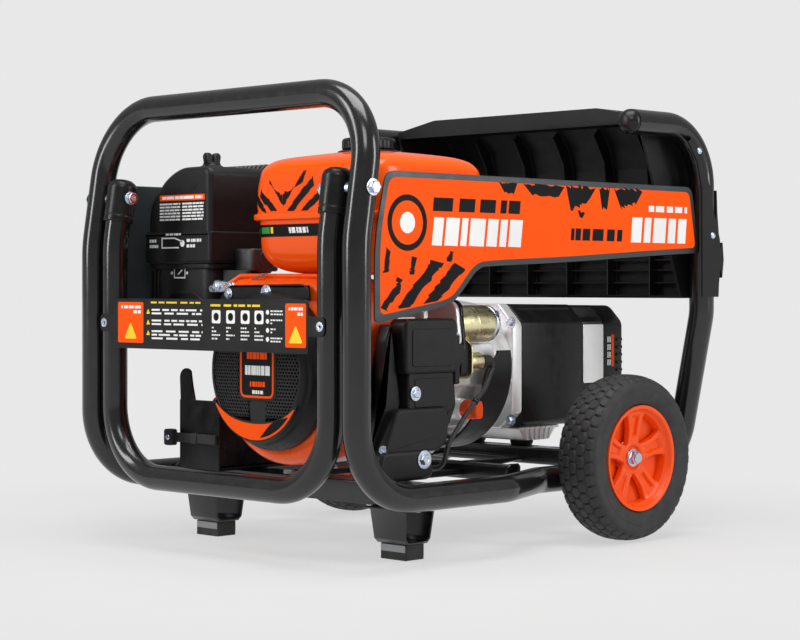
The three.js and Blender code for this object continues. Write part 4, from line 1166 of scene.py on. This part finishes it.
swoosh, dark_part = crescent(212, 330, 95, 21, 36), crescent(222, 262, 92, 12)
piece("starter_swoosh_plate", plate(crescent(208, 334, 97, 26, 40), "yz", 39.8, 47, 0.2), moulding)
piece("starter_swoosh", film([swoosh], "yz", 39.7, -1, 0.2), print_orange)
piece("starter_swoosh_dark", film([dark_part], "yz", 39.5, -1, 0.1), print_black)

# %% Fan, pull grip
softened("rotating_assembly", dark_iron, 0.8, "crank_and_fan")
grip_shape = rounded([[44, 190], [47, 186], [59, 186], [62, 190], [60, 231], [62, 272], [59, 276], [47, 276],
                      [44, 272], [46, 231]], 4, 4)
guide = rounded([[-198, 216], [-198, 246], [-152, 258], [-152, 204]], [8, 8, 4, 4], 5)
PULL_AT = [0, -182, 231]
ferrule = turned(softly([[4.8, 79.6], [9, 79.6], [10, 82], [4.8, 82]], 0.8), "x", PULL_AT, 36)
piece("starter_rope_guide", [plate(guide, "yz", 80.4, 91, 2.0), ferrule], moulding, angle=40)
grip_neck = turned(softly([[0, 60], [6, 60], [4.5, 66], [4.2, 72], [5, 79], [0, 79]], 1), "x", PULL_AT, 28)
piece("pull_grip_moulding", [plate(grip_shape, "xz", -192, -172, 5, 4, 5), grip_neck], smooth_black,
      "pull_grip", stands_for=("recoil_grip",), angle=40)

# %% [markdown]
# ## Engine castings
# Castings show a grainy skin, thick edges and ribs. The plain nodes have the right bulk, so welded copies
# with rounded edges carry the cast finish, and ribs and bosses are added round them.

# %% Castings
softened("crankcase", aluminium, 2.5)
softened("cylinder_block", aluminium, 0.8)
softened("rocker_cover", smooth_black, 5.0)
extra = [turned(softly([[0, 1], [13, 1], [14, 12], [9, 20], [0, 20]], 1.5), "z", [120, -60, 104], 32),
         block(196, 240, -150, -141, 300, 330, 5, 2, "xz"),
         block(206, 292, -152, -141, 168, 176, 2, 1.5, "xz"),
         block(206, 292, -152, -141, 190, 196, 2, 1.5, "xz"),
         block(232, 290, -149, -141, 214, 262, 8, 2, "xz")]
for x in (214, 250, 286):
    extra.append(turned(softly([[0, -141], [7, -141], [6.4, -153], [0, -153]], 1), "y", [x, 0, 150], 28))
piece("crankcase_ribs_and_bosses", extra, aluminium, angle=40)

# %% [markdown]
# ## Near side cover of the engine
# A black moulding in four steps closes the side of the engine. Each step is a plate with a generous rim. The
# upper two carry a raised panel, as moulded covers often do to keep them stiff.

# %% Side cover
steps = [([[152, 252], [152, 322], [158, 328], [250, 328], [256, 320], [256, 252]], -216, 5),
         ([[160, 198], [160, 256], [252, 256], [252, 198]], -212.5, 4),
         ([[106, 146], [134, 206], [232, 206], [232, 160], [214, 146]], -220, 4),
         ([[92, 118], [102, 150], [196, 150], [202, 118], [194, 108], [100, 108]], -222, 6)]
shroud = []
for outline, near_face, rim in steps:
    shroud.append(plate(rounded(outline, 9, 5), "xz", near_face, -184, 2, 4, rim))
for outline, face_at in ((rounded([[164, 262], [164, 314], [244, 314], [244, 262]], 6), -217.2),
                         (rounded([[172, 206], [172, 246], [242, 246], [242, 206]], 5), -213.6)):
    shroud.append(plate(outline, "xz", face_at, -200, 1, 3, 1.2))
rear_web = rounded([[232, 150], [262, 206], [258, 252], [250, 252], [250, 206], [226, 150]], 4)
front_web = rounded([[96, 150], [130, 150], [158, 212], [150, 258], [140, 322], [130, 300], [128, 212]], 5)
shroud += [block(252, 262, -214, -192, 236, 304, 3, 2, "xz"),
           block(246, 280, -206, -188, 262, 292, 5, 2.5, "xz"),
           plate(rear_web, "xz", -206, -196, 1.5),
           plate(front_web, "xz", -200, -178, 2)]
piece("side_cover_moulding", shroud, moulding, stands_for=("side_shroud",), angle=40)
cover_bolts = hex_bolt([172, -214.2, 226], [0, -1, 0], 6.2, 5)
cover_bolts += hex_bolt([181, -222.2, 136], [0, -1, 0], 8, 6)
cover_bolts += hex_bolt([108, -216, 152], [-0.4, -1, 0.2], 4, 4)
cover_bolts += hex_bolt([262, -206, 300], [0, -1, 0], 5, 4)
piece("side_cover_bolts", cover_bolts, zinc, angle=28)

# %% [markdown]
# ## Starter motor, solenoid and its cable
# The starter is a rolled steel can between two caps, yellow from its passivation. The cable runs from the
# solenoid, along the cover and under the engine, to the battery. It is fixed along its way, with a boot at
# the solenoid.

# %% Starter
at = [0, -151, 318]
can = [turned(softly([[0, 306], [26, 306], [27, 307.5], [27, 342], [27.2, 343], [27, 344], [27, 376],
                      [26.2, 379], [24, 380], [24, 306]], 0.8), "x", at, 72)]
cap_parts = [turned(softly([[0, 379.5], [24.6, 379.5], [26.4, 381], [26.6, 386], [24, 390], [18, 392],
                            [10, 393], [9, 394.5], [9, 407], [8, 408], [0, 408]], 1.0), "x", at, 64)]
for a in (0.7, 2.4, 4.6):
    y, z = -151 + 20 * math.cos(a), 318 + 20 * math.sin(a)
    cap_parts += hex_bolt([391, y, z], [1, 0, 0], 3.4, 3)
nose = [turned(softly([[0, 293], [31, 293], [34, 295], [34, 302], [31, 304], [27, 306], [0, 306]], 1.5), "x",
               at, 64)]
nose.append(plate(rounded([[-190, 270], [-180, 352], [-148, 356], [-118, 344], [-128, 300], [-146, 262],
                           [-176, 248]], 14, 5), "yz", 297, 304, 2))
piece("starter_can", can, pale_gold, stands_for=("starter_motor",), angle=40)
piece("starter_caps", cap_parts, zinc, angle=35)
piece("starter_nose_bracket", nose, smooth_black, angle=40)
piece("starter_nose_spacer", [plate(rounded([[-188, 286], [-180, 350], [-148, 355], [-122, 346], [-130, 304],
      [-150, 280]], 14, 5), "yz", 288, 296, 2)], machined, angle=40)
at = [0, -166, 264]
solenoid = [turned(softly([[0, 318], [13.5, 318], [13.5, 351], [12.4, 352], [0, 352]], 0.8), "x", at, 56),
            plate(rounded([[-188, 246], [-188, 288], [-170, 300], [-156, 300], [-146, 284], [-146, 246],
                           [-158, 240], [-176, 240]], 7, 4), "yz", 314.6, 317.4, 0.6)]
piece("solenoid_can", solenoid, pale_gold, stands_for=("starter_solenoid",), angle=40)
piece("solenoid_mount",
      [block(292, 307, -188, -150, 244, 292, 6, 2.5, "yz"),
       block(307, 314.2, -180, -156, 250, 286, 6, 1.5, "yz"),
       turned(softly([[0, 352.3], [11, 352.3], [11, 356], [5, 358], [5, 366], [0, 366]], 0.8), "x", at, 40)],
      smooth_black, angle=40)

# %% Cable
cable_path = bent([[366.4, -166, 264], [387, -167, 264, 8], [352, -179, 226, 30], [300, -189, 190, 40],
                   [256, -197, 152, 20], [243, -198, 118, 14], [243, 126, 118, 16], [243, 126, 204, 14],
                   [222, 126, 204]], 8)
CABLE = 3.5
cable = grid(carried(cable_path, circle(CABLE, 20)), wrap_v=True, ends=True)
piece("starter_cable_jacket", cable, cable_rubber, stands_for=("starter_cable",),
      angle=50)
boot_path = cable_path[:16]
boot_size = np.interp(np.linspace(0, 1, len(boot_path)), [0, 0.15, 0.45, 0.6, 1.0],
                      [8.5, 9.5, 8.0, 5.6, 4.2])
boot_ring = circle(1.0, 28)[None] * boot_size[:, None, None]
piece("solenoid_boot", [grid(carried(boot_path, boot_ring), wrap_v=True, ends=True),
      turned(softly([[0, 358], [9, 358], [9.6, 366], [0, 366.2]], 1.5), "x", at, 32)], pad_rubber,
      angle=50)
clips = [turned(softly([[3.4, -3], [5.2, -3], [5.2, 3], [3.4, 3]], 0.6), axes_towards(d), p, 24)
         for p, d in (((326, -184, 208), (-0.8, -0.15, -0.6)), ((243, -100, 118), (0, 1, 0)))]
piece("cable_clips", clips, smooth_black)

# %% [markdown]
# ## Adaptor, alternator and their mounts
# Behind the crankcase a bright bell joins the alternator. The alternator is a pack of steel sheets held
# between castings, wrapped in a black sheet case with chamfered corners, with its bare side showing near the
# rear.

# %% Adaptor


def casing(half_width, half_height, top, bottom, corner=5):
    """Octagon-like outline round the crank axis, hung three millimetres low."""
    w, h = half_width, half_height
    p = [[bottom - w, -h], [w - bottom, -h], [w, bottom - h], [w, h - top], [w - top, h], [top - w, h],
         [-w, h - top], [-w, bottom - h]]
    return rounded(np.array(p) + [CRANK_Y, CRANK_Z - 3], corner, 4)


bell = [turned(softly([[70, 300.6], [88, 300.6], [91, 304], [95, 318], [98, 332], [98, 356], [96, 372],
                       [98, 388], [97.4, 436], [93, 470], [84, 470], [80, 320], [70, 320]], 3, 4), "x",
               centre, 96)]
bell.append(plate(casing(96, 94, 30, 26), "yz", 468, 489.6, 2.0, 3, 3.0))
for a in np.radians((150, 172, 194, 216, 238, 260, 282)):
    rib = plate([[330, 94], [340, 104], [440, 103], [468, 98], [468, 90], [332, 88]], "xz", -2.2, 2.2, 1.0)
    bell.append(moved(turned_about(rib, [1, 0, 0], a - math.pi / 2, [0, 0, 0]), centre))
bell.append(turned(softly([[0, -96], [17, -96], [16, -132], [14.6, -140.6], [0, -140.6]], 2), "y",
                   [352, 0, 194], 48))
bell.append(block(306, 420, -137, -122, 226, 290, 10, 4, "xz"))
piece("adaptor_bell", bell, machined, stands_for=("adaptor_housing",), angle=40)
flange_bolts = []
for y, z in ((-126, 318), (-126, 172), (60, 318), (60, 172)):
    flange_bolts += hex_bolt([467.8, y, z], [-1, 0, 0], 5.6, 6)
piece("adaptor_bolts", flange_bolts, zinc, angle=28)
a = np.linspace(math.pi * 0.94, math.pi * 1.52, 60)
taper = 30 * np.exp(-((a - a[0]) / 0.16) ** 2)
sheet_rows = [np.stack([x + taper * (x < 400), CRANK_Y + r * np.cos(a), CRANK_Z + r * np.sin(a)], -1)
              for x, r in ((374, 124.6), (375, 125.5), (433, 125.5), (434, 124.6), (434, 122.8), (433, 122),
                           (375, 122), (374, 122.8))]
fairing = [grid(np.array(sheet_rows).transpose(1, 0, 2), wrap_v=True, ends=True)]
piece("adaptor_fairing", fairing, moulding, stands_for=("adaptor_skirt",), angle=40)
cap_at = [352, 0, 194]
wings = [plate(rounded([[345, 181], [359, 181], [361, 194], [359, 207], [345, 207], [343, 194]], 4), "xz",
               -169, -156, 1.5, 3, 3.5)]
piece("oil_cap_moulding",
      [turned(softly([[0, -141.4], [14, -141.4], [14, -147], [12.6, -149], [12.6, -152], [14, -154],
                      [13, -157.6], [0, -158]], 1.0), "y", cap_at, 72, lambda u: 1 + 0.03 * np.cos(18 * u))]
      + wings, rim_orange, "dipstick_cap", ("oil_cap",), 40)

# %% Alternator
case_outline = casing(95, 92, 26, 8)
piece("alternator_case", [plate(case_outline, "yz", 490, 632, 2.0, 3, 2.0),
      plate(casing(94, 91, 26, 8), "yz", 632, 634, 0.4)], black_sheet,
      stands_for=("alternator_shell",), angle=40)
case_bits = [plate(rounded([[500, 336], [620, 336], [620, 340], [500, 340]], 1.5), "xz", -110, 44, 0.6)]
upper = np.array([[-126, 317], [-100, 342.6], [34, 342.6], [60, 317], [56, 313], [30, 338], [-96, 338],
                  [-122, 313]])
case_bits.append(plate(rounded(upper, 2), "yz", 633, 684, 1.0))
piece("alternator_top_cover", case_bits, black_sheet, angle=40)
lamination = [plate(inset(case_outline, 2.2), "yz", x, x + 2.6, 0.3, 1) for x in np.arange(635, 682, 3.0)]
piece("alternator_sheet_pack", lamination, dark_iron, angle=40)
side_cover = [block(634, 683, -128.8, -127, 222, 313, 3, 0.6, "xz")]
side_cover += [block(634, 683, 61, 62.8, 222, 313, 3, 0.6, "xz")]
piece("alternator_side_covers", side_cover, machined, angle=40)
end_outline = casing(93, 90, 26, 12, 8)
end = [plate(end_outline, "yz", 684.4, 738, 9, 6, 1.0)]
for k in range(7):
    z = 214 + 12 * k
    end.append(block(718, 732, -128.0, -120, z, z + 5, 2, 1.2, "xz"))
for k in range(9):
    end.append(block(734, 739.4, -80 + 12 * k, -75 + 12 * k, 215, 295, 2, 1, "yz"))
piece("alternator_end_bell", end, smooth_black, stands_for=("alternator_end_cover",), angle=40)
tag = [[706, 246], [712, 246], [712, 296], [706, 296]]
piece("alternator_tag_orange", film([tag], "xz", -126.2, -1, 0.2), print_orange)
piece("alternator_tag_white", film([[[x, z], [x + 3, z], [x + 3, z + 9], [x, z + 9]] for x in (696, 701)
      for z in (248, 260, 272, 284)], "xz", -126.2, -1, 0.2), print_white)
foot = [plate(rounded([[500, 159.4], [590, 159.4], [571, 138], [513, 138]], 3), "xz", -113, 47, 2.0)]
foot += [plate(rounded([[512 + 12 * k, 159], [517 + 12 * k, 159], [519 + 10 * k, 139], [516 + 10 * k, 139]],
                       1), "xz", -115, 49, 0.8) for k in range(6)]
foot += [block(498, 592, -114.6, 48.6, 155, 159.4, 2, 1, "xz")]
piece("alternator_foot_casting", foot, aluminium, stands_for=("alternator_foot",),
      angle=40)

# %% Rubber mounts and their plates
mount_parts, mount_plates, mount_nuts = [], [], []
for x, y, low, high in ((542, -82, 117, 137), (542, 16, 117, 137), (216, -96, 106, 131), (216, 30, 106, 131)):
    mount_parts.append(turned(softly([[0, low], [17, low], [18, low + 3], [14.5, (low + high) / 2],
                                      [18, high - 3], [17, high], [0, high]], 1.5), "z", [x, y, 0], 40))
    mount_nuts += hex_bolt([x + 22, y - 12, low + 0.2], [0, 0, 1], 5, 5)
mount_plates.append(block(498, 588, -112, 44, 113.4, 116.8, 6, 0.6))
rear_rail = rounded([[368, 108], [420, 104], [500, 110], [586, 112], [586, 116], [368, 116]], 4)
front_rail = rounded([[192, 96], [366, 96], [366, 105.6], [192, 105.6]], 3)
for outline, y0, y1, rim in ((rear_rail, -120, -104, 2), (rear_rail, 44, 60, 2), (front_rail, -120, -80, 1.5),
                             (front_rail, 14, 54, 1.5)):
    mount_plates.append(plate(outline, "xz", y0, y1, rim))
piece("rubber_mounts", mount_parts, pad_rubber)
piece("engine_carrier_rails", mount_plates, tube_paint)
piece("mount_nuts", mount_nuts, zinc, angle=28)

# %% [markdown]
# ## Carburettor and linkage
# Between the air cleaner and the engine sits a dense little machine of castings, rods, levers and springs.
# It is mostly shadow in use, but its glints matter, so each rod is its own small tube.

# %% Carburettor
carb = [turned(softly([[0, 391.2], [20, 391.2], [22, 393], [22, 408], [18, 411], [0, 411]], 1.5), "z",
               [147, 84, 0], 48), turned(softly([[0, 371], [8, 371], [15, 377], [16, 391], [0, 391]], 1.5),
                                         "z", [132, 78, 0], 40), block(120, 174, 64, 104, 394, 427, 8, 3),
        block(104, 116, 58, 112, 356, 396, 6, 2),
        turned(softly([[0, 62], [13, 62], [13, 66], [10, 68], [10, 100], [13, 102], [13, 108], [0, 108]], 1),
               "y", [147, 0, 412], 40)]
piece("carburettor_casting", carb, dark_iron, stands_for=("carburettor",), angle=40)
links = [tube([[96, 104, 372], [96, 60, 366, 4], [88, 20, 384, 6], [84, -8, 390]], 1.8, 12),
         tube([[100, 100, 350], [92, 70, 352, 5], [92, 44, 366]], 1.5, 12),
         tube([[90, 108, 380], [88, 60, 376, 4], [88, 30, 372]], 2.2, 12),
         plate(rounded([[118, 372], [96, 380], [64, 378], [60, 370], [90, 364], [116, 364]], 3), "yz", 84,
               86.4, 0.6), plate(rounded([[104, 344], [88, 364], [78, 360], [84, 340]], 3), "yz", 90, 92.4,
                                 0.6)]
links += hex_bolt([83.6, 100, 372], [-1, 0, 0], 5, 4) + hex_bolt([83.6, 72, 372], [-1, 0, 0], 4, 4)
coil_t = np.linspace(0, 1, 200)
COILS, COIL = 11, 3.4
turn = 2 * np.pi * COILS * coil_t
spring_path = np.stack([90 + COIL * np.cos(turn), 40 + 44 * coil_t, 358 + COIL * np.sin(turn)], -1)
links.append(grid(carried(spring_path, circle(0.7, 8)), wrap_v=True, ends=True))
piece("throttle_linkage", links, zinc, angle=35)
softened("fuel_strainer", brass, 1.2, "fuel_strainer_cup")
hose = tube([[150, 196, 323], [150, 168, 330, 12], [120, 110, 336, 14], [112, 80, 352]], 4, 16)
piece("fuel_hose", hose, cable_rubber)

# %% [markdown]
# ## Battery
# The battery stands in a folded tray at the far front corner. A rubber strap with a square buckle holds it,
# and red and black boots cover its posts.

# %% Battery
softened("battery_tray", black_sheet, 1.2, "battery_tray_sheet")
box_levels = [(109.4, 98, 228.6, 113.6, 186.4, 14), (111, 96.6, 229.8, 112.2, 187.8, 16),
              (176, 96.6, 229.8, 112.2, 187.8, 16), (177, 98, 228.6, 113.6, 186.4, 16),
              (179, 98, 228.6, 113.6, 186.4, 16), (180, 96.6, 229.8, 112.2, 187.8, 16),
              (196, 96.6, 229.8, 112.2, 187.8, 16), (199, 98.4, 228, 114, 186, 14),
              (200, 104, 222, 120, 180, 12)]
battery = [stacked(box_levels, 96)]
battery += [turned(softly([[0, 199], [9, 199], [9, 201.6], [0, 202.4]], 0.8), "z", [x, 168, 0], 28)
            for x in (116, 136, 156, 176, 196)]
piece("battery_case", battery, smooth_black, stands_for=("battery",), angle=40)
boots = [turned(softly([[0, 200], [11, 200], [10, 207], [7, 209], [0, 209.4]], 1.2), "z", [x, 126, 0], 32)
         for x in (112, 214)]
piece("battery_boot_red",
      [boots[0], tube([[112, 126, 206], [100, 122, 208, 5], [100, 96, 208, 8], [140, 84, 200]], 3.4, 14)],
      warm_red, angle=45)
piece("battery_boot_black", [boots[1]], cable_rubber)
strap = [block(86, 91.4, 106, 206, 143, 157, 1.5, 1.0, "yz"),
         block(78, 91, 196, 214, 138, 162, 4, 2.4, "yz"), block(84, 91, 146, 160, 142, 158, 4, 2, "yz")]
piece("battery_strap", strap, pad_rubber, angle=40)
piece("strap_button", round_screw([78, 203, 150], [-1, 0, 0], 4.2, 2.4), zinc)

# %% [markdown]
# ## Wheels
# The tyre is a carcass turned about the axle, with its tread worked out as height over angle and width: oval
# blocks in staggered rows. Height is a smooth step of the distance to the nearest block, so one formula
# gives every block.

# %% Tyres
TREAD = 2.8                        # height of the blocks
TREAD_ROWS, TREAD_BLOCKS = 5, 42   # rows across, blocks around
CROWN_STEPS, ROUND_STEPS = 61, 560


def tread_height(u, w):
    """Full height where the block function is well above zero: b = 1 - |x|^3 - |y|^3 in each staggered
    cell."""
    s = (w + 1) / 2 * TREAD_ROWS
    row = np.floor(s)
    a = (u / (2 * np.pi) * TREAD_BLOCKS + 0.5 * (row % 2)) % 1.0
    x, y = (a - 0.5) / 0.455, (s - row - 0.5) / 0.44
    b = 1 - np.abs(x) ** 3 - np.abs(y) ** 3
    return TREAD * np.clip(b * 6.0, 0, 1) ** 0.6


def tyre(side):
    """Carcass ring: bead, sidewall, shoulder, crown; the tread is added to the crown's radius."""
    u = np.linspace(0, 2 * np.pi, ROUND_STEPS, endpoint=False)[:, None]
    crown_w = np.linspace(-1, 1, CROWN_STEPS)
    crown = np.stack([118.6 - 7.4 * np.abs(crown_w) ** 2.6, 32.2 * crown_w], -1)
    wall = softly([[111.0, 32.4], [108, 34.2], [102, 34.4], [98, 33.6], [96, 34.2], [88, 33.2], [82, 31.4],
                   [77.6, 29], [77.4, 26], [77.4, 0]], 2.0, 2)
    profile = np.concatenate([crown, wall, (wall * [1, -1])[::-1][1:]])
    lift = np.zeros((len(u), len(profile)))
    lift[:, :CROWN_STEPS] = tread_height(u, crown_w[None, :]) * np.clip((1 - np.abs(crown_w)) * 14, 0, 1)
    r = profile[None, :, 0] + lift
    y = np.broadcast_to(profile[None, :, 1], r.shape)
    points = np.stack([WHEEL_X + r * np.cos(u), side * WHEEL_Y + y, WHEEL_Z + r * np.sin(u)], -1)
    return grid(points, wrap_u=True, wrap_v=True)


for side, sign in SIDES:
    piece(f"{side}_tyre_tread", tyre(sign), tyre_rubber, f"{side}_wheel",
          (f"{side}_wheel_tyre",), 60)

# %% [markdown]
# The rim has five broad spokes. A spoke is lofted from hub to rim: at each radius the section is a channel
# with two raised edges and a sunk middle, wide at the rim and narrow at its waist.

# %% Rims


def spoke(angle):
    """Sections over radius r: half width w(r), outer face y(r), with a groove g deep along the middle."""
    r = np.linspace(19, 68, 26)
    half = np.interp(r, [19, 30, 44, 58, 68], [13.0, 12.0, 12.8, 17.0, 22.5])
    face_y = np.interp(r, [19, 26, 50, 60, 68], [15.6, 16.4, 19.5, 20.6, 24.0])
    groove = 4.5 * np.clip((r - 30) / 4, 0, 1) * np.clip((63 - r) / 4, 0, 1)
    section = np.array([[-1, -9], [-1, -1.6], [-0.94, -0.3], [-0.84, 0], [-0.52, 0], [-0.42, -0.3],
                        [-0.36, 0], [0.36, 0], [0.42, -0.3], [0.52, 0], [0.84, 0], [0.94, -0.3], [1, -1.6],
                        [1, -9]])
    sunk = np.array([0, 0, 0, 0, 0, 0.3, 1, 1, 0.3, 0, 0, 0, 0, 0])
    across = half[:, None] * section[None, :, 0]
    y = face_y[:, None] + section[None, :, 1] - groove[:, None] * sunk[None]
    x = np.broadcast_to(r[:, None], across.shape)
    c, s = math.cos(angle), math.sin(angle)
    return grid(np.stack([x * c - across * s, y, x * s + across * c], -1), wrap_v=True, ends=True)


barrel = turned(softly([[65, 16], [66, 22.5], [69, 25.5], [72, 31], [77, 32], [77.2, 30.6], [77.2, -31],
                        [72, -31], [69.4, -27], [68, -20], [66, 6], [64.6, 12], [65, 16]], 1.4), "y",
                [0, 0, 0], 120)
hub = turned(softly([[8.6, 13.6], [12, 13.8], [13.6, 12.4], [16, 12.2], [18, 15.6], [21, 17.2], [24, 16],
                     [25, 8], [20, 4], [19, -29], [8.6, -29], [8.6, 13.6]], 1.2), "y", [0, 0, 0], 72)
back_web = turned(softly([[23, 2], [64, 9], [66, 9], [66, 5.5], [64, 5.5], [23, -2], [23, 2]], 0.8), "y",
                  [0, 0, 0], 90)
SPOKES = 5
spokes = [spoke(math.pi / 2 + 2 * math.pi * k / SPOKES) for k in range(SPOKES)]
rim_shells = [barrel, hub, back_web] + spokes
for side, sign in SIDES:
    wheel_at = [WHEEL_X, sign * WHEEL_Y, WHEEL_Z]
    placed = [moved(on_side(shell, sign), wheel_at) for shell in rim_shells]
    piece(f"{side}_rim_moulding", placed, rim_orange, f"{side}_wheel",
          (f"{side}_wheel_rim",), 32)

# %% Axle
axle_parts = [turned([[0, -311], [7, -311], [8, -310], [8, 310], [7, 311], [0, 311]], "y",
                     [WHEEL_X, 0, WHEEL_Z], 32)]
for sign in (-1, 1):
    y0, y1 = sorted((212 * sign, 240 * sign))
    axle_parts.append(block(524, 556, y0, y1, 112, 140, 6, 1.5, "xz"))
    collar = turned(softly([[8, 246], [14, 246], [14, 255], [8, 255]], 0.8), "y", [WHEEL_X, 0, WHEEL_Z], 36)
    axle_parts.append(on_side(collar, sign))
    axle_parts += hex_bolt([WHEEL_X, sign * 299.3, WHEEL_Z], [0, sign, 0], 10.5, 8.6, 1.22)
piece("axle_and_nuts", axle_parts, zinc, stands_for=("axle",), angle=28)

# %% [markdown]
# ## Feet
# Rubber pads with a notched sole stand in the welded feet. The notches are small prisms left between ribs.

# %% Feet
for side, sign in SIDES:
    y = sign * FOOT_Y
    pad_shells = [block(147.2, 182.8, y - 24.8, y + 24.8, 4, 21.4, 2.5, 0.8)]
    pad_shells += [block(147.4 + 7.2 * k, 151.6 + 7.2 * k, y - 24.4, y + 24.4, 0, 4.6, 1, 0.8)
                   for k in range(5)]
    pad_shells += [block(148, 182, y - 24.6 + 9 * k, y - 20.4 + 9 * k, 0.2, 4.6, 1, 0.8) for k in range(6)]
    piece(f"{side}_foot_rubber", pad_shells, pad_rubber, stands_for=(f"{side}_foot_pad",))
    piece(f"{side}_foot_strip", block(146.9, 148, y - 23, y + 23, 11, 20.5, 0.6, 0.3, "yz"), print_grey)

# %% [markdown]
# ## Control end
# The rear hood is one deep moulding, open to the front. Its plain node has the right walls, so a copy with
# rounded edges comes first. A finer pattern of ribs inside, screws, and the panel on its rear face follow.

# %% Hood and control panel
softened("control_fascia", moulding, 2.2, "control_hood")
hood = []
for y in np.arange(-212, 213, 42.5):
    hood.append(block(748, 752, y - 2, y + 2, 438, 494, 1, 0.8, "yz"))
for x0, x1, heights in ((752, 766, (446, 470, 484)), (756, 767, (376, 396, 412))):
    hood += [block(x0, x1, -246, 246, z, z + 3, 1, 0.8, "yz") for z in heights]
piece("hood_inner_ribs", hood, moulding, angle=40)
hood_screws = []
for sign in (-1, 1):
    for x, z in ((704, 578), (738, 450)):
        hood_screws += round_screw([x, sign * 298.4, z], [0, sign, 0], 5.2, 2.6)
piece("hood_screws", hood_screws, zinc)
CONTROL_FACE, CONTROL_Z = 775.4, 455   # face of the control plate, and the middle of its sockets
SOCKETS = {"near": -120, "middle": -30}
panel_back = rounded([[-190, 385], [190, 385], [190, 530], [-190, 530]], 10, 5)
piece("control_plate", plate(panel_back, "yz", CONTROL_FACE - 3, CONTROL_FACE, 1.0), panel_grey,
      stands_for=("socket_plate",))
sockets = []
for y in SOCKETS.values():
    sockets.append(turned(softly([[0, 776.4], [20, 776.4], [20, 784], [21, 785], [29, 785], [30, 784],
                                  [31, 778], [33, 775.2], [20, 775.2]], 0.8), "x", [0, y, CONTROL_Z], 64))
    for k in (-1, 1):
        sockets.append(turned(softly([[2.2, 776.2], [2.2, 780], [4, 780], [4, 776.2]], 0.4), "x",
                              [0, y + 9.5 * k, CONTROL_Z], 20))
piece("socket_bodies", sockets, smooth_black)
for name, y in SOCKETS.items():
    lid = [turned(softly([[0, 785.5], [30, 785.5], [31, 786.5], [31, 789], [28, 791], [20, 791.6],
                          [0, 791.9]], 1.2), "x", [0, y, CONTROL_Z], 64),
           block(785.5, 791.8, y - 10, y + 10, 480, 492, 3, 1.5, "yz")]
    piece(f"{name}_socket_flap_moulding", lid, smooth_black, f"{name}_flap",
          stands_for=(f"{name}_socket_flap",))
piece("breaker_surround", block(775.2, 779, 48, 72, 436, 474, 3, 1, "yz"), smooth_black)
piece("breaker_paddle",
      [turned(softly([[0, 52], [6, 52.4], [6, 67.6], [0, 68]], 0.8), "y", [782, 0, CONTROL_Z], 32),
       block(782, 791, 54, 66, 451.6, 458.4, 1.5, 1, "xy")], rim_orange, "breaker",
      ("breaker_toggle",))
piece("key_barrel", turned(softly([[9.6, 775.2], [14, 775.2], [13.4, 779], [9.6, 779.4]], 0.6), "x",
                           [0, 140, CONTROL_Z], 48), zinc)
key_blade = rounded([[444, 780], [466, 780], [468, 784], [466, 790], [444, 790], [442, 784]], 3)
piece("key_and_plug",
      [turned(softly([[0, 775.9], [9, 775.9], [9, 780.4], [7, 781], [0, 781]], 0.5), "x",
              [0, 140, CONTROL_Z], 48), plate(key_blade[:, ::-1], "xz", 138.5, 141.5, 0.6)], zinc, "key",
      ("start_key",))
meter = [turned(softly([[0, 775.2], [22, 775.2], [22, 778.6], [20, 779.4], [0, 779.6]], 0.8), "x",
                [0, 140, 505], 48)]
piece("hour_meter", meter, smooth_black)
piece("hour_meter_face", film([disc(140, 505, 16, 40)], "yz", 779.7, 1, 0.3), print_grey)
rear_marks = bars(-180, -70, (512,), 7, 7) + bars(-60, 0, (512,), 8, 6) + bars(30, 90, (500,), 9, 5)
rear_marks += bars(-160, -80, (400,), 10, 5) + bars(-60, 10, (400,), 12, 5) + bars(120, 162, (424,), 14, 4)
piece("control_plate_print", film(rear_marks, "yz", CONTROL_FACE, 1, 0.2), print_white)
band = [[-186, 524], [186, 524], [186, 518], [-186, 518]]
piece("control_plate_band", film([band], "yz", CONTROL_FACE, 1, 0.2), print_orange)
corner_screws = []
for y in (-180, 180):
    for z in (395, 520):
        corner_screws += round_screw([775.2, y, z], [1, 0, 0], 4.4, 2.2)
piece("control_plate_screws", corner_screws, zinc)
terminal = [turned(softly([[0, 775.2], [9, 775.2], [9, 781], [0, 781]], 0.8), "x", [0, 60, 405], 32,
                   hexagon), turned([[0, 780], [3, 780], [3, 788], [0, 788]], "x", [0, 60, 405], 20)]
piece("earth_terminal", terminal, zinc, angle=28)
